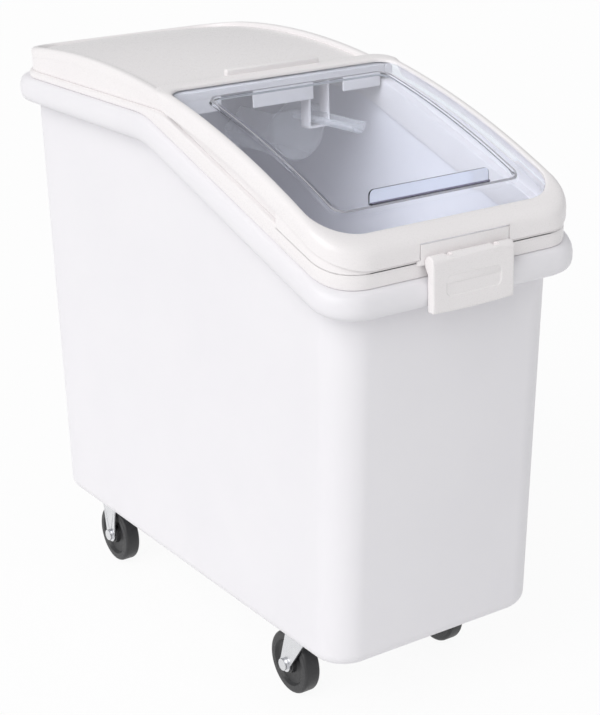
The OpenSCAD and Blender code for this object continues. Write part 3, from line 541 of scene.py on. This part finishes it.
frame_mesh = plan_loop(*frame_plan, end_cuts=36)
for side in (-1, 1):
    row = sorted((v for v in frame_mesh.verts if v.co.y < frame_front + 0.0002 and v.co.x * side > 0),
                 key=lambda v: abs(abs(v.co.x) - notch_half))
    inner, outer = sorted(row[:2], key=lambda v: abs(v.co.x))
    inner.co.x = side * (notch_half - notch_edge)
    outer.co.x = side * (notch_half + notch_edge)
frame_loop = read_loop(frame_mesh)
frame_first, frame_last = loft(frame_mesh, frame_loop, [
    (0, up_frame(0)), (0, up_frame(0.45)), (0, up_frame(0.62), (0.0004, 0.0004, 0.0003)),
    (0, up_frame(0.77), (0.0013, 0.0014, 0.0009)), (0, up_frame(0.885), (0.0028, 0.0030, 0.0018)),
    (0, up_frame(0.96), (0.0050, 0.0060, 0.0032)), (0, up_frame(0.995), (0.0076, 0.0105, 0.0060)),
    (0, on_arc(frame_top), (0.0092, 0.0190, 0.0140)),
    (0, on_arc(frame_top - 0.0003), (0.0104, 0.0222, 0.0180)),
    (0, on_arc(frame_top - 0.0010), (0.0112, 0.0235, 0.0194)), (0, on_arc(frame_top - 0.0020), frame_bar),
    (0, on_arc(frame_under), frame_bar), (0, on_arc(frame_under), frame_wall),
    (0, up_frame(0), frame_wall)], cut_notch)
bmesh.ops.bridge_loops(frame_mesh, edges=frame_first + frame_last)
lug = block(frame_mesh, *lug_box, 0.0022)
lug_turn = Matrix.Rotation(math.atan(lug_slope), 3, "X")
bmesh.ops.rotate(frame_mesh, verts=lug, cent=lug_middle, matrix=lug_turn)
finish_piece("window_frame_moulding", frame_mesh, "window", lid_white, ["window_frame"])


# Clear panel
# The window itself: clear, faintly blue polycarbonate, seated under the frame, with a raised middle and an
# upright lip as a finger pull, all one moulding. The lip's thick root and the raised middle's edge bend the
# light away and show as lines; these lines are painted: a dark block at the lip's foot is painted shade,
# and a grey half-clear strip round the raised middle is a painted line of light and shade.

def clear_plastic(name, colour, bend, roughness_low, roughness_high, grain, relief):
    """A clear moulded plastic with faint flow marks, which lets the lamps light what is behind it."""
    material = bpy.data.materials.new(name)
    material.use_nodes = True
    tree = material.node_tree
    shader = tree.nodes["Principled BSDF"]
    shader.inputs["Transmission Weight"].default_value = 1.0
    shader.inputs["IOR"].default_value = bend
    lamp_rays = tree.nodes.new("ShaderNodeLightPath")
    let_through = tree.nodes.new("ShaderNodeBsdfTransparent")
    let_through.inputs["Color"].default_value = (0.95, 0.955, 0.975, 1)
    either = tree.nodes.new("ShaderNodeMixShader")
    tree.links.new(lamp_rays.outputs["Is Shadow Ray"], either.inputs["Fac"])
    tree.links.new(shader.outputs["BSDF"], either.inputs[1])
    tree.links.new(let_through.outputs["BSDF"], either.inputs[2])
    tree.links.new(either.outputs["Shader"], tree.nodes["Material Output"].inputs["Surface"])
    skin = tree.nodes.new("ShaderNodeGroup")
    skin.node_tree = bpy.data.node_groups["moulded_skin"]
    skin.inputs["Colour"].default_value = (*colour, 1)
    skin.inputs["Shade"].default_value = (*(0.97 * c for c in colour), 1)
    skin.inputs["Grain size"].default_value = grain
    skin.inputs["Smoothest"].default_value = roughness_low
    skin.inputs["Roughest"].default_value = roughness_high
    bump = tree.nodes.new("ShaderNodeBump")
    bump.inputs["Strength"].default_value = 0.2
    bump.inputs["Distance"].default_value = relief
    tree.links.new(skin.outputs["Colour"], shader.inputs["Base Color"])
    tree.links.new(skin.outputs["Roughness"], shader.inputs["Roughness"])
    tree.links.new(skin.outputs["Height"], bump.inputs["Height"])
    tree.links.new(bump.outputs["Normal"], shader.inputs["Normal"])
    return material


clear_window = clear_plastic("clear_window", (0.895, 0.93, 0.99), 1.28, 0.02, 0.05, 60.0, 0.00002)
panel_under = 1.18673
panel_top = 1.18913
panel_rise = 0.004
panel_plan = (0.15525, -0.33725, -0.01615, 0.04275, 0.016)
rise_plan = (0.1215, -0.3035, -0.0549, 0.014, 0.014)
pull_front = -0.2995
pull_thick = 0.003
pull_half = 0.0775
pull_tall = 0.015
pull_corner = 0.006
pull_sunk = 0.0012
pull_foot = arc_height(pull_front, panel_top + panel_rise)


def strip_cap(bm, edges):
    """Closes a loop with strips that run straight across from side to side."""
    halves = [e for e in edges if e.verts[0].co.x * e.verts[1].co.x > 0]
    bmesh.ops.bridge_loops(bm, edges=halves)


def panel_ring(radius, inward):
    return rise_loop, 0, on_arc(radius), (inward, inward, inward)


panel_mesh = plan_loop(*panel_plan)
panel_loop = read_loop(panel_mesh)
rise_loop = outline(*rise_plan)
panel_ends = loft(panel_mesh, panel_loop, [
    panel_ring(panel_under + panel_rise, 0.0068), panel_ring(panel_under + panel_rise, 0.0062),
    panel_ring(panel_under + 0.002, 0.0042), panel_ring(panel_under, 0.0024),
    panel_ring(panel_under, 0.0016), (0, on_arc(panel_under)),
    (0, on_arc(panel_top)), panel_ring(panel_top, -0.0014),
    panel_ring(panel_top, -0.0006), panel_ring(panel_top + 0.0006, 0.0004),
    panel_ring(panel_top + 0.0020, 0.0012), panel_ring(panel_top + 0.0034, 0.0022),
    panel_ring(panel_top + panel_rise, 0.0038), panel_ring(panel_top + panel_rise, 0.0046)])
for ends in panel_ends:
    strip_cap(panel_mesh, ends)
pull_view = [(-pull_half, -pull_sunk)]
pull_view += turned(-pull_half + pull_corner, pull_tall - pull_corner, pull_corner, range(180, 89, -10))
pull_view += turned(pull_half - pull_corner, pull_tall - pull_corner, pull_corner, range(90, -1, -10))
pull_view.append((pull_half, -pull_sunk))
pull_near = [panel_mesh.verts.new((x, pull_front, pull_foot + z)) for x, z in pull_view]
pull_face = panel_mesh.faces.new(pull_near)
pull_made = bmesh.ops.extrude_face_region(panel_mesh, geom=[pull_face], use_keep_orig=True)["geom"]
pull_far = [g for g in pull_made if isinstance(g, bmesh.types.BMVert)]
bmesh.ops.translate(panel_mesh, verts=pull_far, vec=(0, pull_thick, 0))
pull_rim = each_once(e for v in pull_near + pull_far for e in v.link_edges
                     if abs(e.verts[0].co.y - e.verts[1].co.y) < 0.000001)
pull_faces = each_once(f for v in pull_near + pull_far for f in v.link_faces)
bmesh.ops.recalc_face_normals(panel_mesh, faces=pull_faces)
bmesh.ops.bevel(panel_mesh, geom=pull_rim, offset=0.0007, offset_type="OFFSET", segments=3, profile=0.5,
                affect="EDGES", material=-1)
finish_piece("window_pane", panel_mesh, "window", clear_window, ["window_panel"])

# A dark, half-clear block along the lip's foot: painted shade for the dark line that the light bent in the
# lip's thick root makes.
painted_root_shade = clear_plastic("painted_root_shade", (0.42, 0.38, 0.45), 1.22, 0.05, 0.10, 60.0, 0.00002)
root_near = (-pull_half, pull_front - 0.0018, pull_foot - 0.0008)
root_far = (pull_half, pull_front - 0.0001, pull_foot + 0.0020)
root_shade_mesh = bmesh.new()
block(root_shade_mesh, root_near, root_far, 0.0006)
finish_piece("pull_root_painted_shade", root_shade_mesh, "window", painted_root_shade, [])

# A grey, half-clear strip round the raised middle's edge: a painted line of light and shade, lighter than
# the shade beside it on one side and darker than the light beside it on the other, for the line that the
# bent light makes there.
painted_edge_line = moulded("painted_edge_line", (0.46, 0.46, 0.50), (0.42, 0.42, 0.46), 300.0, 0.2, 0.35, 0.00002)
painted_edge_line.node_tree.nodes["Principled BSDF"].inputs["Alpha"].default_value = 0.6
edge_line = ((0.0028, 0.0008), (0.0038, 0.0011), (0.0043, 0.0019), (0.0038, 0.0027), (0.0028, 0.0030))
edge_mesh = plan_loop(*rise_plan)
edge_rings = [panel_ring(panel_top + up, inward) for up, inward in edge_line]
edge_first, edge_last = loft(edge_mesh, read_loop(edge_mesh), edge_rings)
bmesh.ops.bridge_loops(edge_mesh, edges=edge_first + edge_last)
finish_piece("rise_edge_painted_line", edge_mesh, "window", painted_edge_line, [])


# Front latch
# A white moulded block on a steel pin at the ring's ears. Its rolled top turns on the pin, its face has a
# plain shallow recess, and a hook at its foot catches under the rolled rim.

face_y = -0.3715
face_proud = 0.0008
latch_low = 0.5004
latch_half = 0.053
latch_cuts = (6, 12, 10)
latch_plan = (latch_half, latch_low, pivot_z - 0.0005, 0.005, 0.001)
recess_plan = (0.0355, 0.5165, 0.5375, 0.006, 0.006)
belly_deep = 0.0014
belly_tall = 0.02
roll_round = 0.007
roll_low = 0.5300
cheek_back = -0.3622
ear_slot = (0.0255, 0.0345)
cap_lap = 0.0001
brace_box = ((-0.036, face_y + 0.0003, roll_low), (0.036, face_y + 0.0027, 0.5560))
hook_box = ((-0.04, -0.3705, latch_low), (0.04, -0.3527, latch_low + 0.0026))


def latch_head(x0, x1, end):
    """One length of the rolled top with what is below it: a short back in the middle, a cheek at an end."""
    low = latch_low + 0.0006 if end else roll_low
    side_view = [(face_y + 0.0006, low), (face_y + 0.0003, 0.5470)]
    side_view += turned(pivot_y, pivot_z, roll_round, range(180, -1, -9))
    side_view += [(pivot_y + roll_round, 0.5480), (cheek_back, 0.5400), (cheek_back, low)]
    near = [latch_mesh.verts.new((x0, y, z)) for y, z in side_view]
    flat = latch_mesh.faces.new(near)
    made = bmesh.ops.extrude_face_region(latch_mesh, geom=[flat], use_keep_orig=True)["geom"]
    far = [g for g in made if isinstance(g, bmesh.types.BMVert)]
    bmesh.ops.translate(latch_mesh, verts=far, vec=(x1 - x0, 0, 0))
    bmesh.ops.recalc_face_normals(latch_mesh, faces=each_once(f for v in near + far for f in v.link_faces))
    if end:
        outer = near if end < 0 else far
        rim = each_once(e for v in outer for e in v.link_edges
                        if abs(e.verts[0].co.x - e.verts[1].co.x) < 0.000001)
        bmesh.ops.bevel(latch_mesh, geom=rim, offset=0.0016, offset_type="OFFSET", segments=4, profile=0.5,
                        affect="EDGES", material=-1)


def ear_cap(x0, x1):
    """The front of the rolled top where an ear stands behind it."""
    side_view = turned(pivot_y, pivot_z, roll_round, range(180, 131, -6))
    prism(latch_mesh, side_view + [(pivot_y - 0.0046, pivot_z)], x0, x1, 0.0001)


latch_mesh = plan_loop(*latch_plan, *latch_cuts)
latch_loop = read_loop(latch_mesh)
recess_loop = outline(*recess_plan, *latch_cuts)
latch_ends = loft(latch_mesh, latch_loop, [
    (recess_loop, -0.0016, 0), (recess_loop, -0.0008, 0), (recess_loop, -0.0003, 0.0001),
    (recess_loop, 0, 0.0004), (recess_loop, 0.0003, 0.0007), (recess_loop, 0.0007, face_proud),
    (recess_loop, 0.0014, face_proud), (0, face_proud, (0.0038, 0.0038, 0)),
    (0, face_proud, (0.0026, 0.0026, 0)), (0, 0.0005, (0.0013, 0.0013, 0)),
    (0, -0.0004, (0.0004, 0.0004, 0)), (0, -0.0018), (0, -0.0034)])
for ends in latch_ends:
    bmesh.ops.edgeloop_fill(latch_mesh, edges=ends)
for v in latch_mesh.verts:
    belly = belly_deep * (1 - (v.co.x / latch_half) ** 2) * max(0, 1 - (v.co.y - latch_low) / belly_tall)
    v.co = (v.co.x, face_y + face_proud - v.co.z, v.co.y - belly)
slot_in, slot_out = ear_slot
ear_cap(-slot_out - cap_lap, -slot_in + cap_lap)
ear_cap(slot_in - cap_lap, slot_out + cap_lap)
latch_head(-latch_half + 0.0001, -slot_out, -1)
latch_head(-slot_in, slot_in, 0)
latch_head(slot_out, latch_half - 0.0001, 1)
block(latch_mesh, *brace_box, 0.0004)
block(latch_mesh, *hook_box, 0.0010)
finish_piece("latch_moulding", latch_mesh, "latch", lid_white, ["front_latch"])


# Scoop and its hanger
# The scoop is clear plastic with a round-bottomed bowl and a channel handle; it hangs by its handle in a
# white strap that is welded under the cover, behind the apron.

clear_scoop = moulded("clear_scoop", (0.92, 0.92, 0.94), (0.88, 0.89, 0.92), 300.0, 0.18, 0.30, 0.00004)
scoop_tree = clear_scoop.node_tree
# Layer Weight makes the whitish scoop more opaque, and so whiter, where its surface is seen edge-on:
# painted sheen for the reflection that clear plastic shows there.
scoop_edge = scoop_tree.nodes.new("ShaderNodeLayerWeight")
scoop_painted_sheen = scoop_tree.nodes.new("ShaderNodeMapRange")
scoop_painted_sheen.inputs["From Min"].default_value = 0.3
scoop_painted_sheen.inputs["To Min"].default_value = 0.16
scoop_painted_sheen.inputs["To Max"].default_value = 0.55
scoop_tree.links.new(scoop_edge.outputs["Facing"], scoop_painted_sheen.inputs["Value"])
scoop_tree.links.new(scoop_painted_sheen.outputs["Result"], scoop_tree.nodes["Principled BSDF"].inputs["Alpha"])
scoop_place = Matrix.Translation((0.050, 0.0201, 0.633)) @ Matrix.Rotation(math.radians(-86), 4, "Z")
scoop_thick = 0.0022
bowl_half = 0.0388
bowl_straight = 0.022
bowl_mouth = -0.104
mouth_low = -0.0341
mouth_lean = math.radians(50)
handle_half = 0.0112
handle_root = -0.001
handle_end = 0.112
strap_x = (0.024, 0.040)
strap_in = 0.0124
strap_out = 0.0154
strap_top = 0.041
strap_edge = 0.001


def trough(bm, half_width, straight, near, far, end):
    """A round-bottomed channel along X, open at the top and closed by a wall at one end."""
    start = bm.verts.new((near, -half_width, -straight))
    bent = bmesh.ops.spin(bm, geom=[start], cent=(near, 0, -straight), axis=(1, 0, 0), angle=math.pi,
                          steps=28)
    finish = [g for g in bent["geom_last"] if isinstance(g, bmesh.types.BMVert)][0]
    if straight:
        for v in (start, finish):
            raised = bmesh.ops.extrude_vert_indiv(bm, verts=[v])["verts"]
            raised[0].co.z = 0
    edges = [e for e in bm.edges if e.is_wire]
    made = bmesh.ops.extrude_edge_only(bm, edges=edges)["geom"]
    moved = [g for g in made if isinstance(g, bmesh.types.BMVert)]
    bmesh.ops.translate(bm, verts=moved, vec=(far - near, 0, 0))
    wall = [v for v in bm.verts if abs(v.co.x - end) < 0.000001 and v.is_boundary]
    bmesh.ops.contextual_create(bm, geom=wall)


def thicken(bm):
    bmesh.ops.recalc_face_normals(bm, faces=bm.faces[:])
    bmesh.ops.solidify(bm, geom=bm.faces[:], thickness=scoop_thick)


bowl_mesh = bmesh.new()
trough(bowl_mesh, bowl_half, bowl_straight, 0, bowl_mouth, 0)
bmesh.ops.bisect_plane(bowl_mesh, geom=bowl_mesh.verts[:] + bowl_mesh.edges[:] + bowl_mesh.faces[:],
                       plane_co=(bowl_mouth, 0, mouth_low),
                       plane_no=(-math.cos(mouth_lean), 0, math.sin(mouth_lean)), clear_outer=True)
thicken(bowl_mesh)
scoop_mesh = bmesh.new()
trough(scoop_mesh, handle_half, 0, handle_root, handle_end, handle_end)
thicken(scoop_mesh)
join(scoop_mesh, bowl_mesh)
bmesh.ops.transform(scoop_mesh, matrix=scoop_place, verts=scoop_mesh.verts[:])
finish_piece("scoop_moulding", scoop_mesh, "scoop", clear_scoop, ["scoop"])

hanger_mesh = bmesh.new()
for y0, y1, top in ((-strap_out, strap_out, -strap_in), (-strap_out, -strap_in, strap_top),
                    (strap_in, strap_out, strap_top)):
    block(hanger_mesh, (strap_x[0], y0, -strap_out), (strap_x[1], y1, top), strap_edge)
bmesh.ops.transform(hanger_mesh, matrix=scoop_place, verts=hanger_mesh.verts[:])
finish_piece("hanger_strap", hanger_mesh, "bin", lid_white, ["scoop_hanger"])


# Caster metalwork
# Plates, races, forks, brackets, bolts, nuts, screws and the latch pin are pressed or turned steel, bright
# zinc plated. Their solids are right as they are; a small round on their edges catches the light.

zinc_steel = bpy.data.materials.new("zinc_steel")
zinc_steel.use_nodes = True
zinc_tree = zinc_steel.node_tree
zinc_shader = zinc_tree.nodes["Principled BSDF"]
zinc_shader.inputs["Metallic"].default_value = 1.0
zinc_place = zinc_tree.nodes.new("ShaderNodeTexCoord")
zinc_stretch = zinc_tree.nodes.new("ShaderNodeMapping")
zinc_stretch.inputs["Scale"].default_value = (1.0, 1.0, 0.08)
zinc_streak = zinc_tree.nodes.new("ShaderNodeTexNoise")
zinc_streak.inputs["Scale"].default_value = 900.0
zinc_streak.inputs["Detail"].default_value = 3.0
zinc_cloud = zinc_tree.nodes.new("ShaderNodeTexNoise")
zinc_cloud.inputs["Scale"].default_value = 90.0
zinc_tint = zinc_tree.nodes.new("ShaderNodeMix")
zinc_tint.data_type = "RGBA"
zinc_tint.inputs["A"].default_value = (0.70, 0.71, 0.74, 1)
zinc_tint.inputs["B"].default_value = (0.82, 0.82, 0.83, 1)
zinc_gloss = zinc_tree.nodes.new("ShaderNodeMapRange")
zinc_gloss.inputs["From Min"].default_value = 0.3
zinc_gloss.inputs["From Max"].default_value = 0.7
zinc_gloss.inputs["To Min"].default_value = 0.2
zinc_gloss.inputs["To Max"].default_value = 0.36
zinc_bump = zinc_tree.nodes.new("ShaderNodeBump")
zinc_bump.inputs["Strength"].default_value = 0.15
zinc_bump.inputs["Distance"].default_value = 0.00005
zinc_tree.links.new(zinc_place.outputs["Object"], zinc_stretch.inputs["Vector"])
zinc_tree.links.new(zinc_stretch.outputs["Vector"], zinc_streak.inputs["Vector"])
zinc_tree.links.new(zinc_place.outputs["Object"], zinc_cloud.inputs["Vector"])
zinc_tree.links.new(zinc_cloud.outputs["Fac"], zinc_tint.inputs["Factor"])
zinc_tree.links.new(zinc_tint.outputs["Result"], zinc_shader.inputs["Base Color"])
zinc_tree.links.new(zinc_streak.outputs["Fac"], zinc_gloss.inputs["Value"])
zinc_tree.links.new(zinc_gloss.outputs["Result"], zinc_shader.inputs["Roughness"])
zinc_tree.links.new(zinc_streak.outputs["Fac"], zinc_bump.inputs["Height"])
zinc_tree.links.new(zinc_bump.outputs["Normal"], zinc_shader.inputs["Normal"])


def dress_node(node, material, edge):
    """Gives a CAD node its material and softens its edges."""
    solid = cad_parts[node]
    solid.data.materials.clear()
    solid.data.materials.append(material)
    weld = solid.modifiers.new("weld", "WELD")
    weld.merge_threshold = 0.00001
    if edge:
        soft = solid.modifiers.new("soft_edges", "BEVEL")
        soft.width = edge
        soft.segments = 2
        soft.limit_method = "ANGLE"
        soft.angle_limit = math.radians(40)


for name in ("latch_pin", "caster_screws"):
    dress_node(name, zinc_steel, 0.0003)
for side in ("left", "right"):
    for name in ("front_plate", "front_race", "front_kingpin", "front_fork", "front_axle", "front_nut",
                 "rear_bracket", "rear_axle", "rear_nut"):
        dress_node(f"{name}_{side}", zinc_steel, 0.0004)


# Wheels and bushes
# Three inch wheels in black moulded rubber on a hard centre, with round shoulders, a dished web and a
# raised hub. A grey nylon bush in each hub turns on the axle bolt.

wheel_black = moulded("wheel_black", (0.022, 0.022, 0.024), (0.035, 0.035, 0.037), 420.0, 0.34, 0.52,
                      0.00012)
bush_grey = moulded("bush_grey", (0.30, 0.30, 0.31), (0.26, 0.26, 0.27), 500.0, 0.35, 0.5, 0.00005)
wheel_radius = 0.0381
wheel_half = 0.01
wheel_shoulder = 0.004
web_half = 0.006
front_wheel_y = -0.178
rear_wheel_y = 0.253
hub_line = [(0.00608, 0.0118), (0.0064, 0.012), (0.0116, 0.012), (0.0121, 0.0116), (0.0130, 0.0064),
            (0.0138, web_half), (0.0250, web_half), (0.0262, 0.0066), (0.0276, 0.0092),
            (0.0286, wheel_half)]


def wheel(name, node, body, x, y):
    """A wheel turned about its axle: hub, web and shoulder of one side, mirrored to the other."""
    bm = bmesh.new()
    side_line = list(hub_line)
    for k in range(9):
        turn = math.radians(90 * k / 8)
        side_line.append((wheel_radius - wheel_shoulder + wheel_shoulder * math.sin(turn),
                          wheel_half - wheel_shoulder + wheel_shoulder * math.cos(turn)))
    line = side_line + [(r, -w) for r, w in reversed(side_line)]
    verts = [bm.verts.new((x + w, y, wheel_radius + r)) for r, w in line]
    for a, b in zip(verts, verts[1:] + verts[:1]):
        bm.edges.new((a, b))
    bmesh.ops.spin(bm, geom=bm.verts[:] + bm.edges[:], cent=(x, y, wheel_radius), axis=(1, 0, 0),
                   angle=2 * math.pi, steps=96, use_merge=True)
    finish_piece(name, bm, body, wheel_black, [node])


for side, x in (("left", -caster_x), ("right", caster_x)):
    wheel(f"front_tread_{side}", f"front_wheel_{side}", f"front_roller_{side}", x, front_wheel_y)
    wheel(f"rear_tread_{side}", f"rear_wheel_{side}", f"rear_roller_{side}", x, rear_wheel_y)
    for end in ("front", "rear"):
        dress_node(f"{end}_bush_{side}", bush_grey, 0)


# Studio
# A plain white floor, an even white sky, a broad soft lamp from the upper left, a faint one inside the bin
# for the light that its thin white walls let through, and the photograph's camera.

floor_mesh = bpy.data.meshes.new("floor")
floor_shape = bmesh.new()
bmesh.ops.create_grid(floor_shape, x_segments=1, y_segments=1, size=30.0)
floor_shape.to_mesh(floor_mesh)
floor_shape.free()
floor = bpy.data.objects.new("floor", floor_mesh)
bpy.context.scene.collection.objects.link(floor)
floor_white = bpy.data.materials.new("floor_white")
floor_white.use_nodes = True
floor_tree = floor_white.node_tree
floor_shader = floor_tree.nodes["Principled BSDF"]
floor_shader.inputs["Base Color"].default_value = (0.9, 0.9, 0.9, 1)
floor_shader.inputs["Roughness"].default_value = 0.9
floor_shader.inputs["Specular IOR Level"].default_value = 0.0
floor_glow = floor_tree.nodes.new("ShaderNodeEmission")
floor_path = floor_tree.nodes.new("ShaderNodeLightPath")
floor_seen = floor_tree.nodes.new("ShaderNodeMath")
floor_seen.operation = "MAXIMUM"
floor_any = floor_tree.nodes.new("ShaderNodeMath")
floor_any.operation = "MAXIMUM"
floor_share = floor_tree.nodes.new("ShaderNodeMath")
floor_share.operation = "MULTIPLY"
floor_share.inputs[1].default_value = 0.93
floor_mix = floor_tree.nodes.new("ShaderNodeMixShader")
floor_tree.links.new(floor_path.outputs["Is Camera Ray"], floor_seen.inputs[0])
floor_tree.links.new(floor_path.outputs["Is Glossy Ray"], floor_seen.inputs[1])
floor_tree.links.new(floor_seen.outputs["Value"], floor_any.inputs[0])
floor_tree.links.new(floor_path.outputs["Is Transmission Ray"], floor_any.inputs[1])
floor_tree.links.new(floor_any.outputs["Value"], floor_share.inputs[0])
floor_tree.links.new(floor_share.outputs["Value"], floor_mix.inputs["Fac"])
floor_tree.links.new(floor_shader.outputs["BSDF"], floor_mix.inputs[1])
floor_tree.links.new(floor_glow.outputs["Emission"], floor_mix.inputs[2])
floor_tree.links.new(floor_mix.outputs["Shader"], floor_tree.nodes["Material Output"].inputs["Surface"])
floor_mesh.materials.append(floor_white)

sky = bpy.data.worlds.new("studio")
sky.use_nodes = True
sky_tree = sky.node_tree
sky_light = sky_tree.nodes["Background"]
sky_light.inputs["Color"].default_value = (0.98, 0.99, 1.0, 1)
sky_light.inputs["Strength"].default_value = 0.55
sky_seen = sky_tree.nodes.new("ShaderNodeBackground")
sky_seen.inputs["Color"].default_value = (1, 1, 1, 1)
sky_seen.inputs["Strength"].default_value = 1.0
sky_path = sky_tree.nodes.new("ShaderNodeLightPath")
sky_mix = sky_tree.nodes.new("ShaderNodeMixShader")
sky_tree.links.new(sky_path.outputs["Is Camera Ray"], sky_mix.inputs["Fac"])
sky_tree.links.new(sky_light.outputs["Background"], sky_mix.inputs[1])
sky_tree.links.new(sky_seen.outputs["Background"], sky_mix.inputs[2])
sky_tree.links.new(sky_mix.outputs["Shader"], sky_tree.nodes["World Output"].inputs["Surface"])
bpy.context.scene.world = sky

key = bpy.data.lights.new("key", "SUN")
key.energy = 1.6
key.angle = math.radians(50)
key.color = (1.0, 0.99, 0.98)
key_lamp = bpy.data.objects.new("key", key)
key_from = Vector((-0.80, -0.28, 0.62))
key_lamp.rotation_euler = key_from.to_track_quat("Z", "Y").to_euler()
bpy.context.scene.collection.objects.link(key_lamp)

inside = bpy.data.lights.new("inside", "AREA")
inside.energy = 0.24
inside.color = (0.95, 0.97, 1.0)
inside.size = 0.18
inside_lamp = bpy.data.objects.new("inside", inside)
inside_lamp.location = (-0.02, -0.17, 0.42)
inside_from = Vector((-0.02, -0.25, -0.18))
inside_lamp.rotation_euler = inside_from.to_track_quat("Z", "Y").to_euler()
inside_lamp.visible_camera = False
inside_lamp.visible_glossy = False
inside_lamp.visible_transmission = False
bpy.context.scene.collection.objects.link(inside_lamp)

camera = bpy.data.cameras.new("camera")
camera.lens = 87.279
camera.sensor_width = 36.0
camera.clip_end = 200.0
camera_stand = bpy.data.objects.new("camera", camera)
camera_place = Matrix.Translation((-1.06612, -1.67635, 1.05124))
camera_pan = Matrix.Rotation(math.radians(-33.162), 4, "Z")
camera_tilt = Matrix.Rotation(math.radians(90 - 19.762), 4, "X")
camera_roll = Matrix.Rotation(math.radians(-1.585), 4, "Z")
camera_stand.matrix_world = camera_place @ (camera_pan @ camera_tilt @ camera_roll)
bpy.context.scene.collection.objects.link(camera_stand)
bpy.context.scene.camera = camera_stand
bpy.context.scene.view_settings.view_transform = "Standard"
